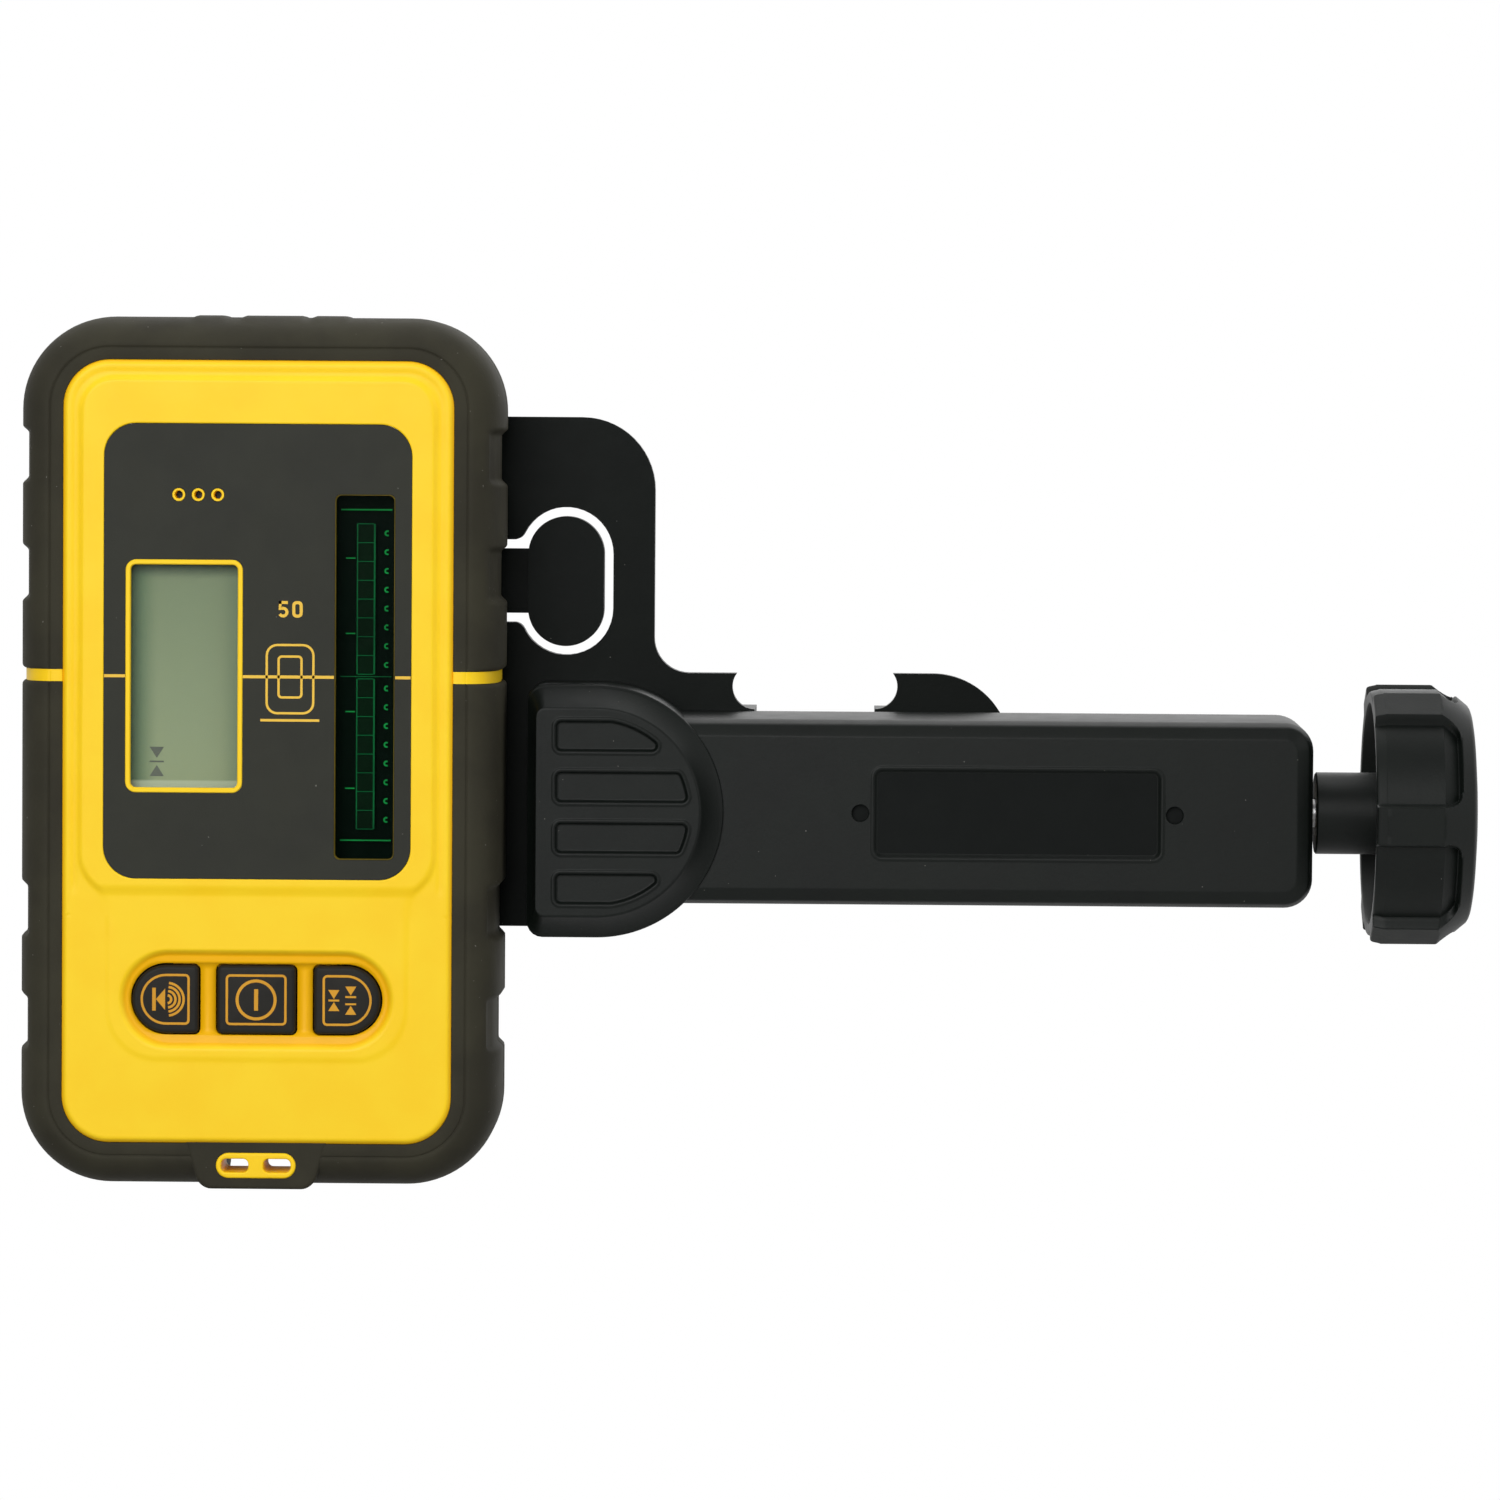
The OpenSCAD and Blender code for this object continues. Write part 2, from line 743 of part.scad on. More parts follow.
module front_case() {
    color(yellow) difference() {
        union() {
            difference() {
                union() {
                    slab(y_core_f, y_part) core_outline(0);
                    hull() {
                        slab(y_front, y_core_f + skin) face_outline(face_edge, $fn = hull_fn);
                        slab(y_front + face_edge, y_core_f + skin) face_outline(0, $fn = hull_fn);
                    }
                    mark_bars(y_front, y_part);
                    slab(y_land, y_land + tab_d) eye_outline();
                }
                slab(y_core_f + case_wall, y_part + over) core_outline(case_wall);
                slab(y_wall, y_part + over) face_outline(case_wall);
            }
            intersection() {
                slab(y_core_f, y_part) core_outline(0);
                at_posts() rod_y(0, 0, 2 * post_r, y_wall - skin, y_part);
            }
            at_board_posts() rod_y(0, 0, board_post_d, y_wall - skin, y_board);
        }
        // seat of the front panel and the openings in it
        slab(y_front - over, y_front + panel_t) difference() {
            translate([0, panel_top - panel_h / 2]) rrect(panel_w, panel_h, panel_r);
            translate([-lcd_x, 0]) rrect(lcd_w + 2 * lcd_rim, lcd_h + 2 * lcd_rim, lcd_r + lcd_rim);
            at_sound_holes() circle(d = sound_ring);
        }
        slab(y_front - over, y_wall + over) translate([-lcd_x, 0]) rrect(lcd_w, lcd_h, lcd_r);
        slab(y_front + lens_drop, y_wall + over) {
            translate([-lcd_x, 0]) square([lcd_w + 2 * lens_lap, lcd_h + 2 * lens_lap], center = true);
        }
        slab(y_front - over, y_wall + over) translate([sensor_x, 0]) rrect(sensor_w, sensor_h, window_r);
        slab(y_front - over, y_wall + over) at_sound_holes() circle(d = sound_hole);
        // keys
        slab(y_front - over, y_front + key_recess) {
            translate([0, key_z]) {
                stadium(2 * key_side_x + key_side_w + 2 * key_margin, key_h + 2 * key_margin);
            }
        }
        for (k = ["sound", "power", "accuracy"]) {
            slab(y_front - over, y_wall + over) key_outline(k, key_clear);
        }
        // lanyard slots, gasket groove and screw pilots
        for (s = [-1, 1]) {
            slab(y_land - over, y_land + tab_d + over) {
                translate([s * (eye_bar + eye_slot_w) / 2, eye_z]) {
                    rrect(eye_slot_w, eye_slot_h, eye_slot_r);
                }
            }
        }
        slab(y_part - gasket_front, y_part + over) gasket_ring(seat_gap);
        at_posts() rod_y(0, 0, pilot_d, y_part - case_screw_l, y_part + over);
        at_board_posts() rod_y(0, 0, board_screw_d, y_wall, y_board + over);
    }
}

module rear_case() {
    color(yellow) difference() {
        union() {
            difference() {
                union() {
                    slab(y_part, y_core_b) core_outline(0);
                    slab(y_core_b - skin, 0) face_outline(0);
                    mark_bars(y_part, -land_drop);
                }
                slab(y_part - over, y_core_b - case_wall) core_outline(case_wall);
                slab(y_part - over, -case_wall) face_outline(case_wall);
            }
            box([bay_x0 - tub_t, y_tub, bay_bottom - tub_t], [bay_x1 + tub_t, -skin, bay_top + tub_t]);
            intersection() {
                box([door_cx - door_w / 2, -barrel_d - case_wall, hinge_low - tub_t],
                    [door_cx + door_w / 2, -skin, bay_bottom]);
                slab(-barrel_d - case_wall - over, over) face_outline(0);
            }
            intersection() {
                slab(y_part, -skin) core_outline(0);
                at_posts() rod_y(0, 0, 2 * post_r, y_part, -skin);
            }
            rails();
        }
        // battery bay, its opening and the door's seat
        box([bay_x0, y_tub + tub_t, bay_bottom], [bay_x1, -door_t - case_wall, bay_top]);
        box([bay_x0, y_tub + tub_t, bay_bottom], [opening_x1, over, bay_top]);
        box([door_cx - door_w / 2 - door_clear, -door_t - door_clear, bay_bottom],
            [door_cx + door_w / 2 + door_clear, over, door_top + door_clear]);
        difference() {
            union() {
                rod_x(hinge_y, hinge_z, barrel_d + 2 * barrel_clear,
                    door_cx - door_w / 2 - door_clear, door_cx + door_w / 2 + door_clear);
                box([door_cx - door_w / 2 - door_clear, -door_t - door_clear, hinge_low],
                    [door_cx + door_w / 2 + door_clear, over, bay_bottom]);
            }
            for (s = [-1, 1]) {
                lug_cx = door_cx + s * (lug_x + lug_w / 2);
                box([lug_cx - lug_w / 2, -barrel_d - case_wall, hinge_z - barrel_d],
                    [lug_cx + lug_w / 2, -seat_gap, hinge_z + barrel_d / 2]);
            }
        }
        rod_x(hinge_y, hinge_z, door_pin_d + 2 * turn_gap,
            door_cx - lug_x - lug_w + seat_gap, door_cx + lug_x + lug_w - seat_gap);
        // seats of the case screws
        at_posts() rod_y(0, 0, case_screw_d + 2 * seat_gap, y_part - over, over);
        at_posts() rod_y(0, 0, case_head_d + 2 * seat_gap, -head_seat - case_head_t, over);
        slab(y_part - over, y_part + gasket_rear) gasket_ring(seat_gap);
        // seat of the lever's hook
        box([hook_x - hook_clear, -hook_in - hook_clear, lever_z - hook_h / 2 - hook_clear],
            [hook_x + hook_l + hook_clear, over, lever_z + hook_h / 2 + hook_clear]);
    }
}

// The two lipped rails and the end stop that take the bracket's tongue
module rails() {
    y_lip = y_pl1 + run_gap;
    for (s = [-1, 1]) {
        mirror([0, 0, s < 0 ? 1 : 0]) {
            box([rail_x0, -skin, tongue_h / 2 + run_gap],
                [rail_x1, y_lip + rail_lip_t, tongue_h / 2 + run_gap + rail_wall]);
            box([rail_x0, y_lip, tongue_h / 2 + run_gap - rail_lip],
                [rail_x1, y_lip + rail_lip_t, tongue_h / 2 + run_gap]);
        }
    }
    box([rail_x0, -skin, -tongue_h / 2 - run_gap], [rail_x0 + stop_w, y_pl1, tongue_h / 2 + run_gap]);
}

module front_guard_upper() {
    color(rubber) guard(true, true);
}

module front_guard_lower() {
    color(rubber) guard(true, false);
}

module rear_guard_upper() {
    color(rubber) guard(false, true);
}

module rear_guard_lower() {
    color(rubber) guard(false, false);
}

module case_gasket() {
    color(black) slab(y_part - gasket_front, y_part + gasket_rear) gasket_ring(0);
}

// A screw along Y with its head towards +Y, a cross cut in the head
module screw_y(d, l, head_d, head_t) {
    difference() {
        union() {
            rod_y(0, 0, d, -l, skin);
            rod_y(0, 0, head_d, 0, head_t);
        }
        for (a = [0, 90]) {
            rotate([0, a, 0]) {
                box([-head_d * cross_l_share, head_t / 2, -head_d * cross_w_share],
                    [head_d * cross_l_share, head_t + over, head_d * cross_w_share]);
            }
        }
    }
}

module case_screws() {
    color(steel) at_posts() {
        translate([0, -head_seat - case_head_t, 0]) {
            screw_y(pilot_d - 2 * turn_gap, case_screw_l, case_head_d, case_head_t);
        }
    }
}

module front_panel() {
    color(charcoal) slab(y_front, y_front + panel_t) difference() {
        translate([0, panel_top - panel_h / 2]) {
            rrect(panel_w - 2 * turn_gap, panel_h - 2 * turn_gap, panel_r);
        }
        translate([-lcd_x, 0]) {
            rim = lcd_rim + turn_gap;
            rrect(lcd_w + 2 * rim, lcd_h + 2 * rim, lcd_r + lcd_rim);
        }
        translate([sensor_x, 0]) rrect(sensor_w, sensor_h, window_r);
        at_sound_holes() circle(d = sound_ring + 2 * turn_gap);
    }
}

module lcd_window() {
    color("lightblue", 0.5) slab(y_front + lens_drop, y_front + lens_drop + lens_t) {
        translate([-lcd_x, 0]) {
            square([lcd_w + 2 * lens_lap - seat_gap, lcd_h + 2 * lens_lap - seat_gap], center = true);
        }
    }
}

module lcd_module() {
    color("#8A9C80") slab(y_lcd, y_lcd_b) {
        translate([-lcd_x, 0]) {
            square([lcd_w + 2 * lens_lap, lcd_h + 2 * lcd_lap + 2 * lens_lap], center = true);
        }
    }
}

module lcd_connectors() {
    color(charcoal) for (s = [-1, 1]) {
        slab(y_lcd_b, y_board) {
            translate([-lcd_x, s * (lcd_h / 2 + lcd_lap + lens_lap - connector_h / 2)]) {
                square([lcd_w, connector_h], center = true);
            }
        }
    }
}

module sensor_window() {
    color("#12281C") {
        slab(y_front + window_drop, y_wall + skin) {
            translate([sensor_x, 0]) {
                rrect(sensor_w - 2 * turn_gap, sensor_h - 2 * turn_gap, window_r - turn_gap);
            }
        }
        slab(y_wall, y_wall + window_flange_t) {
            translate([sensor_x, 0]) {
                rrect(sensor_w + 2 * window_flange, sensor_h + 2 * window_flange, window_r + window_flange);
            }
        }
    }
}

module sensor_board() {
    color(board_green) slab(y_board - sensor_board_t, y_board) {
        translate([sensor_x, 0]) {
            square([sensor_w + 2 * window_flange, sensor_h + 2 * window_flange], center = true);
        }
    }
}

module photodiodes() {
    color("#30483A") for (i = [0 : diode_count - 1]) {
        slab(y_board - sensor_board_t - diode_t, y_board - sensor_board_t) {
            translate([sensor_x + diode_shift, (i - (diode_count - 1) / 2) * diode_pitch]) {
                square([diode_w, diode_pitch * diode_h_share], center = true);
            }
        }
    }
}

module main_board() {
    color(board_green) difference() {
        slab(y_board, y_board + board_t) {
            translate([-board_w / 2, board_bottom]) square([board_w, board_top - board_bottom]);
        }
        at_board_posts() {
            rod_y(0, 0, board_screw_d + 2 * seat_gap, y_board - over, y_board + board_t + over);
        }
    }
}

// Processor, amplifier and power parts on the back of the board
module board_chips() {
    chip_w = 10;
    chip_t = 1.6;
    amp_w = 5;
    amp_h = 8;
    coil_d = 7;
    coil_t = 4;
    row = 7;
    color(charcoal) {
        slab(y_board + board_t, y_board + board_t + chip_t) {
            translate([-lcd_x, 0]) square([chip_w, chip_w], center = true);
            translate([sensor_x, row]) square([amp_w, amp_h], center = true);
            translate([sensor_x, -row]) square([amp_w, amp_h], center = true);
        }
        rod_y(-lcd_x, sound_z, coil_d, y_board + board_t, y_board + board_t + coil_t);
    }
}

module board_screws() {
    color(steel) at_board_posts() {
        l = y_board + board_t - y_wall - seat_gap;
        translate([0, y_board + board_t, 0]) {
            screw_y(board_screw_d - 2 * turn_gap, l, board_head_d, board_head_t);
        }
    }
}

module buzzer() {
    color(brass) rod_y(sound_x, sound_z, buzzer_d, y_wall + seat_gap, y_board);
}

module key_switches() {
    color(charcoal) for (s = [-1, 0, 1]) {
        slab(y_board - switch_t, y_board) {
            translate([s * key_side_x, key_z]) square([switch_w, switch_w], center = true);
        }
        rod_y(s * key_side_x, key_z, actuator_d,
            y_board - switch_t - actuator_t, y_board - switch_t + skin);
    }
}

// One key: its cap in the front wall and the flange behind the wall
module key(which) {
    slab(y_key, y_foot) key_outline(which, 0);
    slab(y_flange, y_foot) key_outline(which, key_flange);
}

module key_sound() {
    color(charcoal) key("sound");
}

module key_power() {
    color(charcoal) key("power");
}

module key_accuracy() {
    color(charcoal) key("accuracy");
}

module battery() {
    color("#45494E") {
        box([cell_x0, y_cell_f, bay_cz - cell_h / 2], [cell_x1, y_cell_b, bay_cz + cell_h / 2]);
        for (s = [-1, 1]) {
            rod_x((y_cell_f + y_cell_b) / 2, bay_cz + s * terminal_z, 2 * terminal_r,
                cell_x1 - skin, cell_x1 + terminal_l);
        }
    }
}

// The contact plate that the battery's terminals press on
module battery_snap() {
    color(brass) {
        box([snap_x0, y_cell_f + tub_t, bay_cz - cell_h / 2 + tub_t],
            [snap_x0 + snap_t, y_cell_b - case_wall - tub_t, bay_cz + cell_h / 2 - tub_t]);
    }
}

module battery_door() {
    nail_w = 14;
    nail_h = 3;
    nail_d = 0.8;
    color(charcoal) difference() {
        union() {
            box([door_cx - door_w / 2, -door_t, bay_bottom + door_clear],
                [door_cx + door_w / 2, 0, door_top]);
            box([door_cx - lug_x + run_gap, -door_t, hinge_z],
                [door_cx + lug_x - run_gap, 0, bay_bottom + over]);
            rod_x(hinge_y, hinge_z, barrel_d, door_cx - lug_x + run_gap, door_cx + lug_x - run_gap);
        }
        rod_x(hinge_y, hinge_z, door_pin_d + 2 * turn_gap, door_cx - lug_x - over, door_cx + lug_x + over);
        slab(-nail_d, over) translate([door_cx, door_top - door_lap - nail_h / 2]) stadium(nail_w, nail_h);
    }
}

module door_pin() {
    color(steel) rod_x(hinge_y, hinge_z, door_pin_d,
        door_cx - lug_x - lug_w + 2 * seat_gap, door_cx + lug_x + lug_w - 2 * seat_gap);
}

// The horn that marks the reference line on a jaw: its notch is cut to the left of x
module horn_notch(x) {
    translate([x + horn_back, -horn_r * horn_cz_share]) circle(horn_r);
}

// The thumb pad's outline, grown by a margin
module pad_outline(grow) {
    translate([pad_cx, lever_z]) rotate(90) stadium(pad_h + 2 * grow, pad_w + 2 * grow);
}

// Rounds the plate's corner between the lever's slot and the ring round its pad
module opening_corner() {
    ring_r = pad_w / 2 + lever_gap;
    arc_z = (pad_h - pad_w) / 2;
    slot_z = lever_h / 2 + lever_gap;
    dz = slot_z + opening_r - arc_z;
    dx = sqrt((ring_r + opening_r) * (ring_r + opening_r) - dz * dz);
    share = ring_r / (ring_r + opening_r);
    difference() {
        polygon([
            [-dx, slot_z + opening_r], [-dx, slot_z - skin], [-dx * share, slot_z - skin],
            [-dx * share, arc_z + dz * share]
        ]);
        translate([-dx, slot_z + opening_r]) circle(opening_r);
    }
}

// The plate's outline behind the receiver, the grip and the bar
module plate_outline() {
    tongue_x1 = upright_x0 + upright_r;
    difference() {
        union() {
            translate([(upright_x0 + upright_x1) / 2, 0]) {
                rrect(upright_x1 - upright_x0, upright_h, upright_r);
            }
            translate([upright_x0, -upright_h / 2]) square([upright_r, upright_h]);
            translate([tongue_x0, -tongue_h / 2]) square([tongue_x1 - tongue_x0, tongue_h]);
            translate([grip_cx, bar_z]) circle(grip_r - plate_inset);
            translate([grip_cx, bar_z - bar_h / 2 + plate_inset]) {
                square([bar_l - bar_r - plate_inset, bar_h - 2 * plate_inset]);
            }
            translate([bar_x1 - plate_inset - 2 * bar_r, bar_z - bar_h / 2 + plate_inset + bar_r]) {
                square([2 * bar_r, bar_h - 2 * plate_inset - 2 * bar_r]);
            }
            for (s = [-1, 1]) {
                translate([bar_x1 - plate_inset - bar_r, bar_z + s * (bar_h / 2 - plate_inset - bar_r)]) {
                    circle(bar_r);
                }
            }
            // the horn's foot, with its hollow corner against the upright
            difference() {
                translate([grip_cx, bar_z]) square([jaw_face_x - grip_cx, bar_drop]);
                horn_notch(horn_x);
            }
            difference() {
                translate([upright_x1 - skin, -skin]) square([horn_fillet + skin, horn_fillet + skin]);
                translate([upright_x1 + horn_fillet, horn_fillet]) circle(horn_fillet);
            }
        }
        pad_outline(lever_gap);
        for (s = [0, 1]) translate([pad_cx, lever_z]) mirror([0, s]) opening_corner();
        translate([lever_px - channel_end - lever_gap, lever_z - lever_h / 2 - lever_gap]) {
            square([pad_cx - lever_px + channel_end + lever_gap, lever_h + 2 * lever_gap]);
        }
        // the slot that the sliding jaw's neck runs in
        translate([jaw_x0 + neck_in - jaw_close - slot_gap, bar_z - neck_h / 2 - run_gap]) {
            square([carriage_l - 2 * neck_in + jaw_close + jaw_open + 2 * slot_gap, neck_h + 2 * run_gap]);
        }
    }
}

// A jaw's wall and its stiffening ribs, with the face at x = 0 and the ribs towards -x
module jaw_wall_form(reach, y0, y1) {
    box([-jaw_wall, y0, bar_z - jaw_h / 2], [0, y1, bar_z + jaw_h / 2]);
    for (s = [-1, 0, 1]) {
        translate([0, 0, bar_z + s * (jaw_h - rib_t) / 2 - rib_t / 2]) linear_extrude(rib_t) {
            polygon([
                [-jaw_wall / 2, y0], [-reach, y0], [-reach, y0 + rib_t],
                [-jaw_wall, y1 - rib_t], [-jaw_wall / 2, y1 - rib_t]
            ]);
        }
    }
}

module bracket_plate() {
    color(black) difference() {
        union() {
            slab(y_pl0, y_pl1) plate_outline();
            translate([jaw_face_x, 0, 0]) jaw_wall_form(jaw_out / 2, y_pl1 - skin, y_pl1 + jaw_d);
        }
        // bores of the lever's pin, the rivet and the set screws
        translate([lever_px, lever_py, lever_z - lever_h / 2 - lever_gap - lever_pin_lap]) {
            cylinder(d = lever_pin_d + 2 * turn_gap, h = lever_h + 2 * lever_gap + 2 * lever_pin_lap);
        }
        rod_y(rivet_x, lever_z, rivet_d + 2 * turn_gap, y_pl0 - over, y_pl1 + over);
        at_set_screws() rod_y(0, 0, set_screw_d + 2 * seat_gap, y_pl0 - over, y_pl1 + over);
        at_set_screws() rod_y(0, 0, set_head_d + 2 * seat_gap, y_pl1 - set_head_t, y_pl1 + over);
    }
}

// Places of the four screws that hold the housing on the plate
module at_set_screws() {
    for (s = [-1, 1]) {
        translate([grip_post_x, 0, bar_z + s * grip_post_z]) children();
        translate([end_post_x, 0, bar_z + s * end_post_z]) children();
    }
}

// The grip's outline: straight to the receiver, round towards the bar
module grip_outline(inset) {
    intersection() {
        translate([grip_cx, bar_z]) circle(grip_r - inset);
        translate([grip_cx - skin, bar_z - grip_r]) square(2 * grip_r);
    }
    translate([grip_x0 + inset + grip_corner, bar_z - grip_r + inset]) {
        square([grip_l - inset - grip_corner, 2 * (grip_r - inset)]);
    }
    translate([grip_x0 + inset, bar_z - grip_r + inset + grip_corner]) {
        square([grip_l - inset, 2 * (grip_r - inset - grip_corner)]);
    }
    for (s = [-1, 1]) {
        translate([grip_x0 + inset + grip_corner, bar_z + s * (grip_r - inset - grip_corner)]) {
            circle(grip_corner);
        }
    }
}

module bar_outline(inset) {
    translate([grip_cx, bar_z - bar_h / 2 + inset]) square([bar_l - bar_r, bar_h - 2 * inset]);
    translate([bar_x1 - 2 * bar_r, bar_z - bar_h / 2 + bar_r]) {
        square([2 * bar_r - inset, bar_h - 2 * bar_r]);
    }
    for (s = [-1, 1]) {
        translate([bar_x1 - bar_r, bar_z + s * (bar_h / 2 - bar_r)]) circle(bar_r - inset);
    }
}

module clamp_housing() {
    mid_share = 0.3;
    color(black) difference() {
        union() {
            difference() {
                union() {
                    hull() {
                        slab(y_grip, y_pl0) grip_outline(grip_round, $fn = hull_fn);
                        slab(y_grip + grip_round * mid_share, y_pl0) {
                            grip_outline(grip_round * mid_share, $fn = hull_fn);
                        }
                        slab(y_grip + grip_round, y_pl0) grip_outline(0, $fn = hull_fn);
                    }
                    hull() {
                        slab(y_bar, y_pl0) bar_outline(bar_bevel, $fn = hull_fn);
                        slab(y_bar + bar_bevel * mid_share, y_pl0) {
                            bar_outline(bar_bevel * mid_share, $fn = hull_fn);
                        }
                        slab(y_bar + bar_bevel, y_pl0) bar_outline(0, $fn = hull_fn);
                    }
                }
                // hollow of the grip
                intersection() {
                    slab(y_grip + grip_shell, y_pl0 + over) grip_outline(grip_shell);
                    box([grip_x0, y_grip, bar_z - grip_r], [grip_cav_x1, y_pl0 + over, bar_z + grip_r]);
                }
                // channel of the bar
                box([cav_x0, y_cav, bar_z - cav_h / 2], [cav_x1, y_pl0 + over, bar_z + cav_h / 2]);
            }
            for (s = [-1, 1]) {
                rod_y(grip_post_x, bar_z + s * grip_post_z, set_post_d, y_grip + grip_shell - skin, y_pl0);
                rod_y(end_post_x, bar_z + s * end_post_z, end_post_d, y_cav - skin, y_pl0);
            }
        }
        at_set_screws() rod_y(0, 0, set_screw_d, y_pl0 - set_screw_l, y_pl0 + over);
        rod_x(y_axis, bar_z, journal_d + 2 * turn_gap, grip_cav_x1 + journal_in, cav_x0 + over);
        rod_x(y_axis, bar_z, bush_d + 2 * turn_gap, cav_x1 - over, bar_x1 + over);
        // thumb pockets, the plain recess and the two small holes
        intersection() {
            slab(y_grip - over, y_grip + pocket_d) grip_outline(grip_round + grip_shell);
            for (i = [0 : pocket_count - 1]) {
                z = bar_z + (i - (pocket_count - 1) / 2) * pocket_pitch;
                box([grip_x0 + grip_round + pocket_d, y_grip - over, z - pocket_h / 2],
                    [grip_cx + grip_r, y_bar, z + pocket_h / 2]);
            }
        }
        slab(y_bar - over, y_bar + recess_d) {
            translate([(grip_cx + grip_r + bar_x1) / 2, bar_z]) rrect(recess_w, recess_h, recess_d);
        }
        for (s = [-1, 1]) {
            rod_y((grip_cx + grip_r + bar_x1) / 2 + s * (recess_w / 2 + dot_d - recess_d), bar_z, dot_d,
                y_bar - over, y_bar + bar_wall / 2);
        }
    }
}

module bracket_screws() {
    color(steel) at_set_screws() {
        translate([0, y_pl1 - set_head_t, 0]) {
            screw_y(set_screw_d - 2 * turn_gap, set_screw_l, set_head_d, set_head_t - seat_gap);
        }
    }
}

module release_lever() {
    y_arm0 = y_pl0 + lever_in;
    y_arm1 = y_pl1 - lever_thin;
    color(black) difference() {
        union() {
            slab(y_arm0, y_arm1) {
                translate([lever_px, lever_z - lever_h / 2]) square([pad_cx - lever_px, lever_h]);
            }
            slab(y_pl0 - pad_proud, y_pl1 - seat_gap) pad_outline(0);
            translate([lever_px, lever_py, lever_z - lever_h / 2]) {
                cylinder(d = lever_barrel_d, h = lever_h);
            }
            box([hook_x, -hook_in, lever_z - hook_h / 2],
                [hook_x + hook_l, y_arm0 + skin, lever_z + hook_h / 2]);
        }
        translate([lever_px, lever_py, lever_z - lever_h / 2 - over]) {
            cylinder(d = lever_pin_d + 2 * turn_gap, h = lever_h + 2 * over);
        }
    }
}

module lever_pin() {
    l = lever_h + 2 * lever_gap + 2 * lever_pin_lap - 2 * seat_gap;
    color(steel) translate([lever_px, lever_py, lever_z - l / 2]) cylinder(d = lever_pin_d, h = l);
}

// A flat strip riveted to the plate, whose tip presses on the lever
module lever_spring() {
    color(steel) difference() {
        union() {
            box([leaf_x0, y_pl1, lever_z - leaf_w / 2], [leaf_x1, y_pl1 + leaf_t, lever_z + leaf_w / 2]);
            box([leaf_x1 - leaf_tip_l, y_pl1 - lever_thin + seat_gap, lever_z - leaf_w / 2],
                [leaf_x1, y_pl1 + leaf_t, lever_z + leaf_w / 2]);
        }
        rod_y(rivet_x, lever_z, rivet_d + 2 * turn_gap, y_pl1 - over, y_pl1 + leaf_t + over);
    }
}

module spring_rivet() {
    color(steel) {
        rod_y(rivet_x, lever_z, rivet_d, y_pl0, y_pl1 + leaf_t + skin);
        rod_y(rivet_x, lever_z, rivet_head_d, y_pl1 + leaf_t, y_pl1 + leaf_t + rivet_head_t);
    }
}

// The sliding jaw: its carriage in the bar, the neck through the slot, the jaw and its horn behind
module sliding_jaw() {
    y_base = y_pl1 + run_gap;
    z_low = bar_z - jaw_h / 2;
    z_high = bar_z + jaw_h / 2;
    hx = jaw_x0 + horn_back;
    color(black) difference() {
        union() {
            box([jaw_x0, y_cav + run_gap, bar_z - cav_h / 2 + run_gap],
                [jaw_x0 + carriage_l, y_pl0 - run_gap, bar_z + cav_h / 2 - run_gap]);
            box([jaw_x0 + neck_in, y_cav + run_gap, bar_z - neck_h / 2],
                [jaw_x0 + carriage_l - neck_in, y_base + skin, bar_z + neck_h / 2]);
            slab(y_base, y_base + jaw_base_t) {
                translate([jaw_x0, z_low]) square([jaw_l, jaw_h]);
                difference() {
                    union() {
                        translate([jaw_x0, z_high - skin]) square([hx + fin_flat - jaw_x0, skin - z_high]);
                        intersection() {
                            translate([hx + fin_flat, -fin_r]) circle(fin_r);
                            translate([hx + fin_flat - skin, z_high - skin]) square([fin_r, skin - z_high]);
                        }
                    }
                    mirror([1, 0]) horn_notch(-hx);
                }
            }
            translate([jaw_x0, 0, 0]) mirror([1, 0, 0]) {
                jaw_wall_form(jaw_l, y_base, y_pl1 + jaw_d);
            }
        }
        rod_x(y_axis, bar_z, screw_d + 2 * screw_clear, jaw_x0 - over, jaw_x0 + carriage_l + over);
        nut_form(nut_af + 2 * turn_gap, jaw_x0 - over, jaw_x0 + nut_t);
    }
}

// A hexagon along X with two flats facing up and down
module nut_form(af, x0, x1) {
    translate([x0, y_axis, bar_z]) rotate([0, 90, 0]) {
        cylinder(d = af / cos(180 / 6), h = x1 - x0, $fn = 6);
    }
}

module jaw_nut() {
    color(brass) difference() {
        nut_form(nut_af, jaw_x0, jaw_x0 + nut_t);
        rod_x(y_axis, bar_z, screw_d + 2 * turn_gap, jaw_x0 - over, jaw_x0 + nut_t + over);
    }
}

module clamp_screw() {
    color(steel) difference() {
        union() {
            rod_x(y_axis, bar_z, screw_d, thread_x0, thread_x1);
            rod_x(y_axis, bar_z, journal_d, grip_cav_x1 + journal_in + run_gap, knob_x1 - knob_floor);
        }
        difference() {
            rod_x(y_axis, bar_z, screw_d + over, thread_x1 + seat_gap, thread_x1 + seat_gap + ring_t);
            rod_x(y_axis, bar_z, journal_d - 2 * ring_groove,
                thread_x1 + seat_gap - over, thread_x1 + seat_gap + ring_t + over);
        }
    }
}

// The ring in the screw's groove, which keeps the screw in the bar
module retaining_ring() {
    color(steel) difference() {
        rod_x(y_axis, bar_z, ring_d, thread_x1 + seat_gap, thread_x1 + seat_gap + ring_t);
        rod_x(y_axis, bar_z, journal_d - 2 * ring_groove + 2 * skin,
            thread_x1 + seat_gap - over, thread_x1 + seat_gap + ring_t + over);
    }
}

module screw_bush() {
    color(brass) difference() {
        rod_x(y_axis, bar_z, bush_d, cav_x1, bar_x1 + bush_out);
        rod_x(y_axis, bar_z, journal_d + 2 * turn_gap, cav_x1 - over, bar_x1 + bush_out + over);
    }
}

